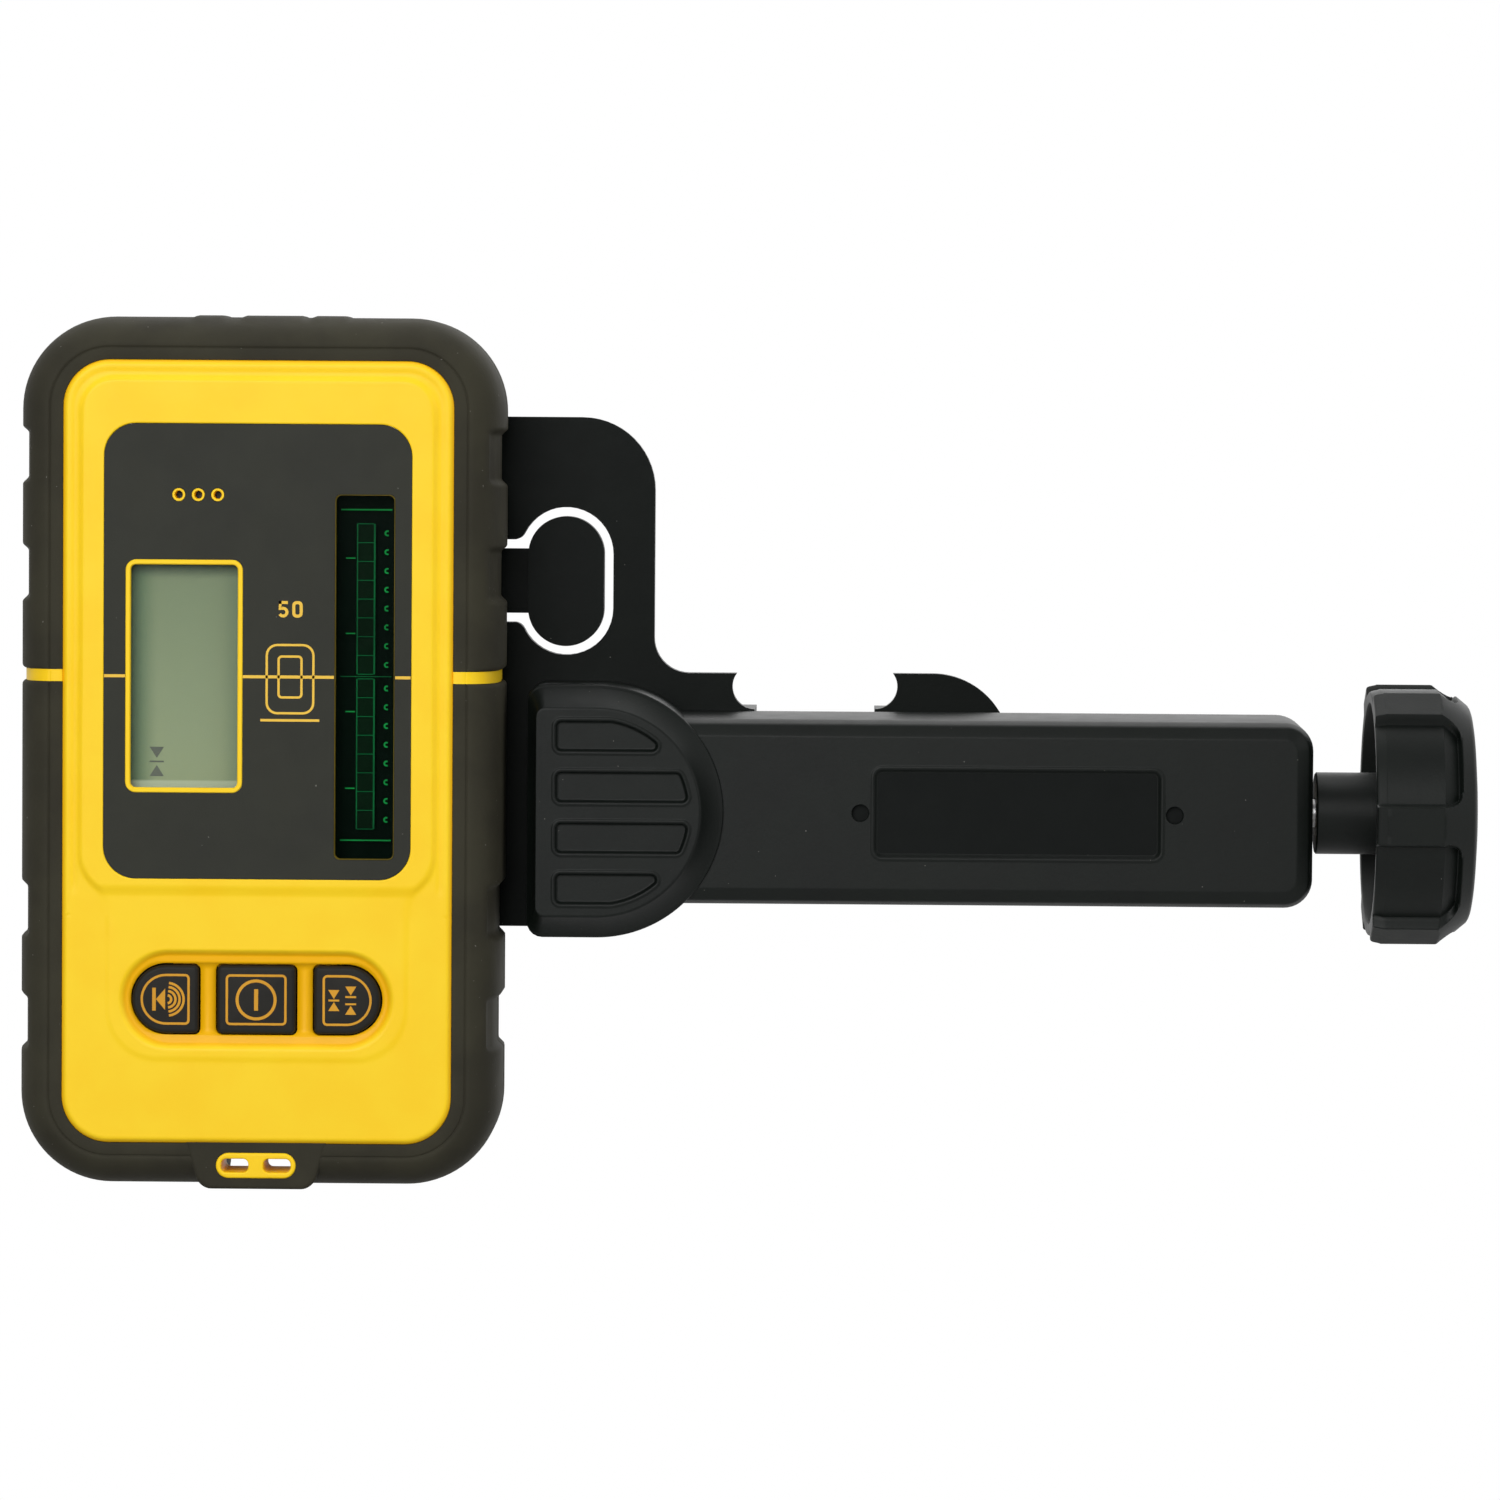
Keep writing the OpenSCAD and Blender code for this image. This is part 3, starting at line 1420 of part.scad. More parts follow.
// The knob's outer profile for a given radius: straight, then a shoulder, then a low crown
module knob_profile(r) {
    polygon([
        [0, 0], [r, 0], [r, knob_l * flat_share],
        [r - shoulder_in, knob_l * shoulder_share], [0, knob_l]
    ]);
}

// A rib's outline, seen along the knob's axis
module rib_outline() {
    top = knob_rib_w / 2;
    foot = top * rib_side_share;
    polygon([
        [0, -foot], [knob_r - knob_rib, -foot], [knob_r, -top], [knob_r + over, -top],
        [knob_r + over, top], [knob_r, top], [knob_r - knob_rib, foot], [0, foot]
    ]);
}

module knob() {
    color(black) translate([rim_x, y_axis, bar_z]) rotate([0, 90, 0]) difference() {
        union() {
            difference() {
                union() {
                    rotate_extrude() knob_profile(knob_r - knob_rib);
                    intersection() {
                        rotate_extrude() knob_profile(knob_r);
                        for (i = [0 : knob_ribs - 1]) {
                            rotate(knob_phase + i * 360 / knob_ribs) linear_extrude(knob_l) rib_outline();
                        }
                    }
                }
                // hollow of the cup
                translate([0, 0, -over]) {
                    cylinder(r = knob_r - knob_rib - knob_wall, h = knob_l * flat_share - knob_wall + over);
                }
            }
            translate([0, 0, -hub_l]) cylinder(d = hub_d, h = hub_l + knob_l * flat_share);
        }
        // bore that the screw's end is fixed in
        translate([0, 0, -hub_l - over]) {
            cylinder(d = journal_d + 2 * turn_gap, h = hub_l + over + knob_l - knob_floor + seat_gap);
        }
    }
}

placed() front_case();
placed() rear_case();
placed() front_guard_upper();
placed() front_guard_lower();
placed() rear_guard_upper();
placed() rear_guard_lower();
placed() case_gasket();
placed() case_screws();
placed() front_panel();
placed() lcd_window();
placed() lcd_module();
placed() lcd_connectors();
placed() sensor_window();
placed() sensor_board();
placed() photodiodes();
placed() main_board();
placed() board_chips();
placed() board_screws();
placed() buzzer();
placed() key_switches();
placed() key_sound();
placed() key_power();
placed() key_accuracy();
placed() battery();
placed() battery_snap();
placed() battery_door();
placed() door_pin();
placed() bracket_plate();
placed() clamp_housing();
placed() bracket_screws();
placed() release_lever();
placed() lever_pin();
placed() lever_spring();
placed() spring_rivet();
placed() sliding_jaw();
placed() jaw_nut();
placed() clamp_screw();
placed() screw_bush();
placed() retaining_ring();
placed() knob();
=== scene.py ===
# %% [markdown]
# # A laser receiver on its rod clamp
# The receiver is a yellow box in a rubber guard. It senses a rotating laser through a green window and
# shows on a small display whether the beam is high or low. A bracket holds it on a bar, and a knob at the
# bar's end pulls a jaw against a levelling rod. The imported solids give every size, so they are loaded
# first and never moved: each new surface is worked out from their boxes.

# %% Load the frame
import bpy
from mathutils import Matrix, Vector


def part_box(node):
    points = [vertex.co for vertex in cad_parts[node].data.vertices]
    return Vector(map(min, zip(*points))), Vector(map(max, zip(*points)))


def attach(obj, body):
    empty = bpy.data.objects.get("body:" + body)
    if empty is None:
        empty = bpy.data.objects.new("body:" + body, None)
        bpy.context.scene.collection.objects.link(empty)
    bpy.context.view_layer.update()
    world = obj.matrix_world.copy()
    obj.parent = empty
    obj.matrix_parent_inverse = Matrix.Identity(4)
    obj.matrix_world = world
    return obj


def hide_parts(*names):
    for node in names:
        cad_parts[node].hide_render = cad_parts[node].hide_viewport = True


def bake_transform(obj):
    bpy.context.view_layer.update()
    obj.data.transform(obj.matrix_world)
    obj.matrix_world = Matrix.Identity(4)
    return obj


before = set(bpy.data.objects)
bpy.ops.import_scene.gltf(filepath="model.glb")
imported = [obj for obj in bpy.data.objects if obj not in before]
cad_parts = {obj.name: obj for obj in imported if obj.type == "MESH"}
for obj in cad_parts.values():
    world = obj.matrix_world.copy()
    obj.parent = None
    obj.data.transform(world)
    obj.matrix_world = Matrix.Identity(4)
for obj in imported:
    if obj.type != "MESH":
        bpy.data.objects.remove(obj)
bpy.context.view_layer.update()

import math

import bmesh
import bpy
import numpy as np
from mathutils.geometry import tessellate_polygon

MM = 0.001
FIXED = "receiver_and_clamp"


def corners(node):
    """Lowest and highest corner of a solid, in millimetres."""
    low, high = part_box(node)
    return np.array(low) / MM, np.array(high) / MM


# %% [markdown]
# ## Surfaces from arrays
# A moulded part is a stack of outlines: a wall, a rounded edge, a flat top. So a piece could be modelled
# by hand with bevels, but a stack of numpy loops gives the same skin from a few numbers and stays
# exact. A shell gathers such skins and flat caps, and one function turns it into an object.

# %% The shell and the piece
class Shell:
    """Points, in millimetres, and faces of one piece, gathered sheet by sheet."""

    def __init__(self):
        self.points = []
        self.faces = []
        self.size = 0

    def add(self, points, faces):
        points = np.asarray(points, float).reshape(-1, 3)
        self.points.append(points)
        self.faces.extend((np.asarray(faces) + self.size).tolist())
        self.size += len(points)

    def loft(self, grid):
        """Skin a grid of points, rows by columns by 3, where the last column joins the first."""
        grid = np.asarray(grid)
        rows, cols = grid.shape[:2]
        row = np.arange(rows - 1)[:, None] * cols
        col = np.arange(cols)[None, :]
        after = (col + 1) % cols
        quads = np.stack([row + col, row + after, row + cols + after, row + cols + col], axis=-1)
        self.add(grid, quads.reshape(-1, 4))

    def cap(self, *loops):
        """Fill the first loop, less the others, which are holes, with flat triangles."""
        triangles = tessellate_polygon([[tuple(point) for point in loop] for loop in loops])
        self.add(np.concatenate(loops), triangles)

    def closed(self, grid):
        """A skin with a cap on its first and on its last row."""
        self.loft(grid)
        self.cap(grid[0])
        self.cap(grid[-1])
        return self

    def hollow(self, rows):
        """A skin with a cap on its last row. The first row is its mouth, a hole in another cap."""
        self.loft(rows)
        self.cap(rows[-1])
        return rows[0]


MERGE, THIN = 4e-7, 2e-7


def piece(name, shell, body, finish, nodes=(), sharp=38, facing=None):
    """Make an object from a shell: seams merged, faces turned outwards, edges past `sharp` degrees
    kept sharp. An open sheet gives the direction that it faces, and a piece that bends has no body."""
    mesh = bpy.data.meshes.new(name)
    mesh.from_pydata((np.concatenate(shell.points) * MM).tolist(), [], shell.faces)
    work = bmesh.new()
    work.from_mesh(mesh)
    bmesh.ops.remove_doubles(work, verts=work.verts, dist=MERGE)
    bmesh.ops.dissolve_degenerate(work, edges=work.edges, dist=THIN)
    bmesh.ops.recalc_face_normals(work, faces=work.faces)
    if facing is not None:
        toward = sum(face.normal.dot(facing) * face.calc_area() for face in work.faces)
        if toward < 0:
            bmesh.ops.reverse_faces(work, faces=work.faces)
    work.to_mesh(mesh)
    work.free()
    mesh.shade_smooth()
    mesh.set_sharp_from_angle(angle=math.radians(sharp))
    mesh.materials.append(finish)
    made = bpy.data.objects.new(name, mesh)
    bpy.context.collection.objects.link(made)
    if body:
        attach(made, body)
    if nodes:
        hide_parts(*nodes)
    print(name, len(mesh.polygons), "faces")
    return made


# %% Outlines
def columns(*parts):
    """Points from their coordinates, each one an array or a number for all of them."""
    return np.stack(np.broadcast_arrays(*parts), axis=-1)


def around(x, z, radius, angle):
    """Points of the circle round (x, z) at the given angles, in radians."""
    return columns(x + radius * np.cos(angle), z + radius * np.sin(angle))


def rounded_box(x0, x1, z0, z1, radii, corner_steps=8, side_steps=1):
    """Closed loop of a box with round corners. Each corner is a quarter circle of its own radius, from
    the lower right anticlockwise, and each side after it is split evenly."""
    turn = np.linspace(-math.pi / 2, 0, corner_steps + 1)
    along = np.linspace(0, 1, side_steps + 1)[1:-1, None]
    signs = [(1, -1), (1, 1), (-1, 1), (-1, -1)]
    radii = np.broadcast_to(radii, 4)
    arcs = []
    for quarter, ((sx, sz), radius) in enumerate(zip(signs, radii)):
        angle = turn + quarter * math.pi / 2
        centre_x = (x1 - radius) if sx > 0 else (x0 + radius)
        centre_z = (z1 - radius) if sz > 0 else (z0 + radius)
        arcs.append(around(centre_x, centre_z, radius, angle))
    parts = []
    for quarter, arc in enumerate(arcs):
        follow = arcs[(quarter + 1) % 4][0]
        parts += [arc, arc[-1] + along * (follow - arc[-1])]
    return np.concatenate(parts)


def box_at(x, z, width, height, radius, steps=8, grow=0.0):
    """A rounded box by its middle and its size, with each side moved out by `grow`."""
    half_w, half_h = width / 2 + grow, height / 2 + grow
    return rounded_box(x - half_w, x + half_w, z - half_h, z + half_h, radius, steps)


SMALLEST = 0.06


def d_shape(left, centre, radius, corner, inset=0.0, steps=36, side=1):
    """A half circle round (centre, 0) closed by a straight left side with small corners. `inset` draws
    every part in by the same amount, and side -1 mirrors it left to right."""
    small = max(corner - inset, SMALLEST)
    reach = radius - inset
    turn = np.linspace(math.pi / 2, math.pi, 6)
    x_small = left + inset + small
    parts = [around(centre, 0, reach, np.linspace(-math.pi / 2, math.pi / 2, steps)),
             around(x_small, reach - small, small, turn),
             around(x_small, small - reach, small, turn + math.pi / 2)]
    return np.concatenate(parts) * [side, 1]


# %% Stacks and plates
def at_depth(loop, y):
    """Lift a flat loop of (x, z) points to the depth y, one number or one for each point."""
    return columns(loop[:, 0], y, loop[:, 1])


def stacked(loop, steps):
    """A stack of outlines: the loop drawn in by each step's inset, at that step's depth."""
    return np.stack([at_depth(loop(inset), y) for inset, y in steps])


def prism(shell, y_front, y_back, outer, *holes):
    """A flat plate: the same outline with its holes at both depths, and a wall along each loop."""
    for y in (y_front, y_back):
        shell.cap(*[at_depth(loop, y) for loop in (outer, *holes)])
    for loop in (outer, *holes):
        shell.loft([at_depth(loop, y_front), at_depth(loop, y_back)])


def smooth_step(low, high, value):
    """0 below low, 1 above high, and 3t^2 - 2t^3 between them."""
    t = np.clip((value - low) / (high - low), 0, 1)
    return t * t * (3 - 2 * t)


def round_over(radius, y_top, steps=5):
    """(inset, depth) pairs of a quarter-round edge from the wall up to the flat top at y_top, and one
    more a little further in, which keeps the flat shaded flat."""
    turn = np.linspace(0, math.pi / 2, steps + 1)
    edge = columns(radius * (1 - np.cos(turn)), y_top + radius * (1 - np.sin(turn)))
    return np.concatenate([edge, [[radius + SMALLEST, y_top]]])


# %% [markdown]
# ## Camera
# The photograph was taken from about a metre away, a little right of the receiver and a little above
# it, with a long lens.

# %% Camera
scene = bpy.context.scene
scene.view_settings.view_transform = "Standard"
lens = bpy.data.cameras.new("photo_camera")
lens.sensor_width = 36.0
lens.lens = 173.1
camera = bpy.data.objects.new("photo_camera", lens)
camera.location = (0.012, -1.044, 0.053)
look_down, roll, turn_left = 2.5, -0.4, 0.72
camera.rotation_euler = np.radians([90 - look_down, roll, turn_left])
bpy.context.collection.objects.link(camera)
scene.camera = camera
print("camera", round(math.degrees(lens.angle), 2), "degrees wide")

# %% [markdown]
# ## Finishes as expressions
# A finish is a small tree of shader nodes. Wiring one by hand means dozens of clicks, so a value in the
# tree is wrapped in a class that knows plus, minus and times: a line of Python then reads as the formula
# it is, and each operator adds its Math node.

# %% Wires
class Wire:
    """One value in a finish; arithmetic on it adds Math nodes."""

    def __init__(self, finish, socket):
        self.finish = finish
        self.socket = socket

    def calc(self, operation, other=0.0, swapped=False):
        first, second = (other, self) if swapped else (self, other)
        return self.finish.add("ShaderNodeMath", {"operation": operation}, {0: first, 1: second})

    def __add__(self, other):
        return self.calc("ADD", other)

    def __sub__(self, other):
        return self.calc("SUBTRACT", other)

    def __rsub__(self, other):
        return self.calc("SUBTRACT", other, True)

    def __mul__(self, other):
        return self.calc("MULTIPLY", other)

    __radd__ = __add__
    __rmul__ = __mul__


# %% Finishes
class Finish:
    """The node tree of a material or of the world, with its shader and the place as a vector."""

    def __init__(self, owner, shader="Principled BSDF", place="Object"):
        owner.use_nodes = True
        self.owner = owner
        self.tree = owner.node_tree
        self.shader = self.tree.nodes[shader]
        self.place = self.add("ShaderNodeTexCoord", {}, {}, place)

    def add(self, kind, settings, sockets, output=0):
        """Add a node: its settings first, then a value or a wire for each socket."""
        node = self.tree.nodes.new(kind)
        for key, value in settings.items():
            setattr(node, key, value)
        self.feed(node, sockets)
        return Wire(self, node.outputs[output])

    def feed(self, node, sockets):
        for key, value in sockets.items():
            if isinstance(value, Wire):
                self.tree.links.new(value.socket, node.inputs[key])
            else:
                node.inputs[key].default_value = value

    def noise(self, size, detail=2.0):
        """Noise with spots of about `size` millimetres, from 0 to 1."""
        return self.add("ShaderNodeTexNoise", {},
                        {"Vector": self.place, "Scale": 1 / (size * MM), "Detail": detail})

    def ramp(self, value, low, high):
        """0 below low, 1 above high, smooth between."""
        return self.add("ShaderNodeMapRange", {"interpolation_type": "SMOOTHSTEP"},
                        {"Value": value, "From Min": low, "From Max": high})

    def blend(self, factor, first, second):
        """Colour from first to second."""
        return self.add("ShaderNodeMix", {"data_type": "RGBA"}, {0: factor, 6: first, 7: second}, 2)

    def axes(self):
        """The place as three wires, in metres."""
        node = self.tree.nodes.new("ShaderNodeSeparateXYZ")
        self.tree.links.new(self.place.socket, node.inputs[0])
        return [Wire(self, out) for out in node.outputs]

    def bump(self, height, strength, distance):
        return self.add("ShaderNodeBump", {},
                        {"Height": height, "Strength": strength, "Distance": distance * MM})

    def finish(self, **sockets):
        """Set the shader's own sockets, named with _ for a space."""
        self.feed(self.shader, {key.replace("_", " "): value for key, value in sockets.items()})
        return self.owner


# %% Colours and moulded plastic
def material(name):
    return Finish(bpy.data.materials.new(name))


def colour(red, green, blue):
    """A screen colour, 0 to 255, as the linear values that the shader takes."""
    screen = np.array([red, green, blue]) / 255
    linear = np.where(screen <= 0.04045, screen / 12.92, ((screen + 0.055) / 1.055) ** 2.4)
    return (*linear.tolist(), 1.0)


DRIFT, GLOSS, DUST = 9.0, 3.0, 0.6


def moulded(name, main, shade, rough, grain, grain_size=0.35, specks=0.0, level=0.5, painted_shade=None):
    """Moulded plastic or rubber: slow drift between two colours, a fine grain in the surface, a little
    unevenness in the gloss, and dust specks where the spots of a noise rise above a limit. A painted
    shade, if given, changes the colour by the place."""
    finish = material(name)
    drift = finish.ramp(finish.noise(DRIFT, 4.0), 0.35, 0.7)
    base = finish.blend(drift, main, shade)
    if painted_shade:
        base = painted_shade(finish, base)
    if specks:
        dust = finish.ramp(finish.noise(DUST, 1.0), 0.84 - specks, 0.87 - specks)
        base = finish.blend(dust * 0.4, base, (0.3, 0.29, 0.26, 1.0))
    uneven = 0.1 * (finish.noise(GLOSS) - 0.5)
    fine = finish.bump(finish.noise(grain_size, 3.0), grain, 0.05)
    return finish.finish(Base_Color=base, Roughness=rough + uneven, Normal=fine, Specular_IOR_Level=level)


# %% The finishes
# Name, main colour, shade, roughness, height of the grain, size of the grain, dust.
yellow = moulded("yellow_plastic", colour(255, 213, 30), colour(254, 208, 24), 0.42, 0.12, level=0.2)
rubber = moulded("guard_rubber", colour(54, 52, 41), colour(47, 45, 36), 0.72, 0.5, 0.5, 0.06, level=0.14)
black = moulded("clamp_plastic", colour(10, 15, 12), colour(8, 12, 10), 0.46, 0.3, 0.4, 0.03, level=0.18)
# The plate, jaw and lever get a darker black than the housing: partly a smoother plastic, partly painted
# shade.
plate_black_and_shade = moulded("plate_plastic", colour(6, 11, 8), colour(5, 9, 7), 0.42, 0.2, 0.4, 0.02, level=0.075)
floor_black = moulded("hollow_plastic", colour(14, 17, 16), colour(12, 15, 14), 0.55, 0.15, 0.3, level=0.08)
film = moulded("panel_film", colour(44, 45, 38), colour(41, 42, 36), 0.5, 0.2, 0.3, 0.02, level=0.14)
key_black = moulded("key_rubber", colour(34, 32, 28), colour(28, 27, 24), 0.5, 0.3, 0.4, level=0.14)
amber = moulded("key_print", colour(214, 154, 40), colour(206, 146, 36), 0.5, 0.1, level=0.2)
print_gold = moulded("panel_print", colour(240, 195, 72), colour(234, 188, 66), 0.5, 0.1, level=0.2)
# The case's yellow edge round the window, darkened to olive as painted shade.
painted_shade_yellow = moulded("shaded_rim", colour(112, 96, 22), colour(98, 84, 18), 0.5, 0.1, level=0.1)
segment = moulded("display_segments", colour(76, 84, 72), colour(70, 78, 66), 0.5, 0.1, level=0.2)
board_green = moulded("board_green", colour(22, 82, 48), colour(18, 70, 42), 0.4, 0.2)
chip_black = moulded("chip_black", colour(28, 28, 30), colour(36, 36, 38), 0.45, 0.3)
sleeve = moulded("battery_sleeve", colour(52, 54, 58), colour(44, 46, 50), 0.35, 0.1)

# %% Metals
ring_step = 0.12


def metal(name, main, shade, rough):
    """Turned metal: fine rings across the axis, which runs along x, in gloss and height."""
    finish = material(name)
    along = finish.axes()[0] * (6.28 / (ring_step * MM))
    ring = along.calc("SINE")
    wear = finish.ramp(finish.noise(6.0, 3.0), 0.3, 0.8)
    return finish.finish(Base_Color=finish.blend(wear, main, shade), Metallic=1.0,
                         Roughness=rough + 0.06 * ring + 0.1 * wear, Normal=finish.bump(ring, 0.15, 0.02))


steel = metal("steel", (0.6, 0.6, 0.61, 1), (0.54, 0.54, 0.55, 1), 0.28)
brass = metal("brass", (0.7, 0.5, 0.23, 1), (0.62, 0.44, 0.2, 1), 0.3)
print(len(bpy.data.materials), "finishes")

# %% [markdown]
# ## The receiver's outline
# The guard's box gives the outside of the receiver, and the film's box the middle and the front. The
# yellow face lies inside the guard by a margin that the photograph shows: wider at the sides than at
# the lower edge.

# %% Sizes of the receiver
panel_low, panel_high = corners("front_panel")
guard_low, guard_high = corners("front_guard_upper")
lower_low, lower_high = corners("front_guard_lower")
rear_low, rear_high = corners("rear_guard_lower")
mid_x = (panel_low[0] + panel_high[0]) / 2
ref_z = (guard_low[2] + lower_high[2]) / 2
notch = (guard_low[2] - lower_high[2]) / 2
front_y = panel_low[1]
land_y = guard_low[1]
part_y = guard_high[1]
rear_land_y = rear_high[1]
side = (guard_high[0] - guard_low[0]) / 2
top = guard_high[2] - ref_z
swell = 1.0
bottom = rear_low[2] - ref_z - swell
side_margin, top_margin, bottom_margin = 6.6, 6.1, 5.4 + swell
face_side = side - side_margin
face_top = top - top_margin
face_bottom = bottom + bottom_margin
face_radius = 6.5
guard_radius = 13.0
print("receiver", 2 * side, "by", top - bottom, "mm, face", 2 * face_side, "by", face_top - face_bottom)


def placed(loop):
    """From the receiver's own middle and reference line to the frame."""
    return loop + np.array([mid_x, ref_z])


# %% [markdown]
# ## The yellow face
# The face is one moulding: a rounded border, a shallow groove, a raised field round the film, a lower
# field round the keys and a dish in it. That could be cut with many bevels, but it is easier to see it
# as a height over the plane. The depth of each point follows from its distance to a few outlines, and
# two grids carry it: one round the film and one round the dish. Solidify then gives the sheet its wall.

# %% Depth of the face
def inside(x, z, x0, x1, z0, z1, radius):
    """How far a point lies inside a rounded box, negative outside: the radius less the distance to the
    box that the corner centres span."""
    past_x = np.abs(x - (x0 + x1) / 2) - ((x1 - x0) / 2 - radius)
    past_z = np.abs(z - (z0 + z1) / 2) - ((z1 - z0) / 2 - radius)
    outside = np.hypot(np.maximum(past_x, 0), np.maximum(past_z, 0))
    return radius - outside - np.minimum(np.maximum(past_x, past_z), 0)


def soft_union(first, second, width):
    """The larger of two distances, with the crease between them filled over `width`."""
    return width * np.logaddexp(first / width, second / width)


key_low, key_high = corners("key_power")
key_z = (key_low[2] + key_high[2]) / 2 - ref_z
key_h = key_high[2] - key_low[2] - 2.0
dish_w, dish_h = 36.1, 11.8
dish_box = (-dish_w / 2, dish_w / 2, key_z - dish_h / 2, key_z + dish_h / 2, dish_h / 2 - 0.01)
dish_slope = 1.15
border_deep, field_drop, dish_deep = 0.42, 0.3, 1.0
rim_deep, rim_w = 0.55, 0.95
groove_deep, groove_in, groove_w = 0.11, 1.7, 0.42
field_in, field_low, field_soft, neck = 2.55, -29.5, 0.45, 1.3
low_field_w, low_field_bottom, low_field_r = 41.6, -53.4, 7.0
drop_z0, drop_z1 = -30.7, -29.0
cut_z = -33.4


def face_depth(x, z):
    """Depth behind the front plane. Border: a rounded edge and a groove by the distance to the face's
    edge. Field: a soft step along the outline of the upper box joined with the narrow lower box. Drop: a
    step across the height. Dish: a soft wall along the pill round the keys."""
    edge = inside(x, z, -face_side, face_side, face_bottom, face_top, face_radius)
    upper = inside(x, z, field_in - face_side, face_side - field_in, field_low, face_top - field_in,
                   face_radius - 2)
    lower = inside(x, z, -low_field_w / 2, low_field_w / 2, low_field_bottom, 0, low_field_r)
    raised = smooth_step(-field_soft, field_soft, soft_union(upper, lower, neck))
    low_part = smooth_step(drop_z1, drop_z0, z)
    rim = rim_deep * (1 - smooth_step(-0.1, rim_w, edge)) ** 2
    groove = groove_deep * np.exp(-((edge - groove_in) / groove_w) ** 2) * (1 - low_part)
    flat = rim + groove + border_deep * (1 - raised) + field_drop * low_part * raised
    return flat + (dish_deep - flat) * smooth_step(-dish_slope, -0.05, inside(x, z, *dish_box))


# %% The face
seat_gap = 0.06
panel_half = (panel_high[0] - panel_low[0]) / 2 + seat_gap
panel_z0, panel_z1 = panel_low[2] - ref_z - seat_gap, panel_high[2] - ref_z + seat_gap
panel_radius = 4.5
flat_corner = 0.001


def face_sheet(shell, outer, inner, rows):
    """A sheet between two loops: each row is a mix of them, denser near the outer one."""
    share = np.linspace(0, 1, rows)[:, None, None] ** 1.15
    flat = outer + share * (inner - outer)
    depth = front_y + face_depth(flat[..., 0], flat[..., 1])
    shell.loft(columns(flat[..., 0] + mid_x, depth, flat[..., 1] + ref_z))
    return flat[-1]


def face_loop(x0, x1, z0, z1, radii):
    return rounded_box(x0, x1, z0, z1, radii, 14, 110)


face = Shell()
face_sheet(face, face_loop(-face_side, face_side, cut_z, face_top,
                           [flat_corner, face_radius, face_radius, flat_corner]),
           face_loop(-panel_half, panel_half, panel_z0, panel_z1, panel_radius), 46)
dish_rim = face_sheet(face, face_loop(-face_side, face_side, face_bottom, cut_z,
                                      [face_radius, flat_corner, flat_corner, face_radius]),
                      face_loop(*dish_box), 64)
print("face", face.size, "points")

# %% [markdown]
# ## Keys
# Three rubber keys stand in the dish: a square one between two D shapes with their round ends outwards.
# Each is a stack of loops with a rounded edge and a slight crown. The holes in the dish are the same
# outlines, a little larger.

# %% Key outlines
key_gap = 0.25
key_top_y = key_low[1]
floor_y = front_y + dish_deep
mid_key_w, side_key_w, key_x = 10.9, 9.25, 12.675
key_corner = 0.7


def key_loop(which, inset, corner=key_corner):
    """Outline of a key, drawn in by `inset`: a box in the middle, a D on each side."""
    if which == 0:
        return box_at(0, key_z, mid_key_w, key_h, max(corner - inset, SMALLEST), 8, -inset)
    reach = key_h / 2
    loop = d_shape(-side_key_w / 2, side_key_w / 2 - reach, reach, corner, inset, side=which)
    return loop + [which * key_x, key_z]


# %% The face with its keyholes
def dish_painted_shade(finish, base):
    """Painted shade in the dish: a deeper yellow from the border's depth down to the floor of the dish."""
    low = finish.ramp(finish.axes()[1], (front_y + border_deep) * MM, floor_y * MM)
    return finish.blend(low * 0.9, base, colour(246, 180, 0))


# The face's yellow, with painted shade that deepens it down into the dish.
yellow_face = moulded("yellow_face", colour(255, 214, 34), colour(254, 209, 28), 0.42, 0.12, level=0.2,
                      painted_shade=dish_painted_shade)
holes = [at_depth(placed(key_loop(which, -key_gap)), floor_y) for which in (-1, 0, 1)]
face.cap(at_depth(placed(dish_rim), floor_y), *holes)
face_piece = piece("front_face", face, FIXED, yellow_face, ["front_case"],
                   sharp=50, facing=(0, -1, 0))
wall = face_piece.modifiers.new("wall", "SOLIDIFY")
wall.thickness = 2.2 * MM
wall.offset = -1.0

# %% Keys
crown, key_edge, key_sunk = 0.12, 0.55, 2.6


def key_cap(which, body, node):
    """Wall, round edge and crown: the last rows shrink the loop to its middle under a low parabola."""
    steps = [(0, floor_y + key_sunk), *round_over(key_edge, key_top_y + crown)]
    rows = list(stacked(lambda inset: placed(key_loop(which, inset)), steps))
    rim = rows[-1][:, [0, 2]]
    middle = rim.mean(axis=0)
    for share in (0.75, 0.5, 0.25, 0.02):
        rows.append(at_depth(middle + share * (rim - middle), key_top_y + crown * share ** 2))
    piece(node + "_cap", Shell().closed(rows), body, key_black, [node])


# %% Lines and signs
def ribbon(points, width):
    """Outline of a line of even width: each point moved to both sides along the normal of the line."""
    points = np.asarray(points, float)
    run = np.gradient(points, axis=0)
    run /= np.hypot(run[:, 0], run[:, 1])[:, None]
    normal = columns(-run[:, 1], run[:, 0]) * width / 2
    return np.concatenate([points + normal, (points - normal)[::-1]])


def arc(x, z, radius, start, end, steps=16):
    return around(x, z, radius, np.radians(np.linspace(start, end, steps)))


def circle(x, z, radius, steps):
    return arc(x, z, radius, 0, 360 - 360 / steps, steps)


def bar(x0, x1, z0, z1):
    return np.array([[x0, z0], [x1, z0], [x1, z1], [x0, z1]], float)


def arrow(x, z, width, height):
    """A triangle with its tip at (x, z); a negative height points it downwards."""
    return np.array([[x, z], [x - width / 2, z - height], [x + width / 2, z - height]], float)


# %% Signs on the keys
border_in, border_w, border_corner = 1.2, 0.33, 1.85
print_up, print_t = 0.005, 0.2


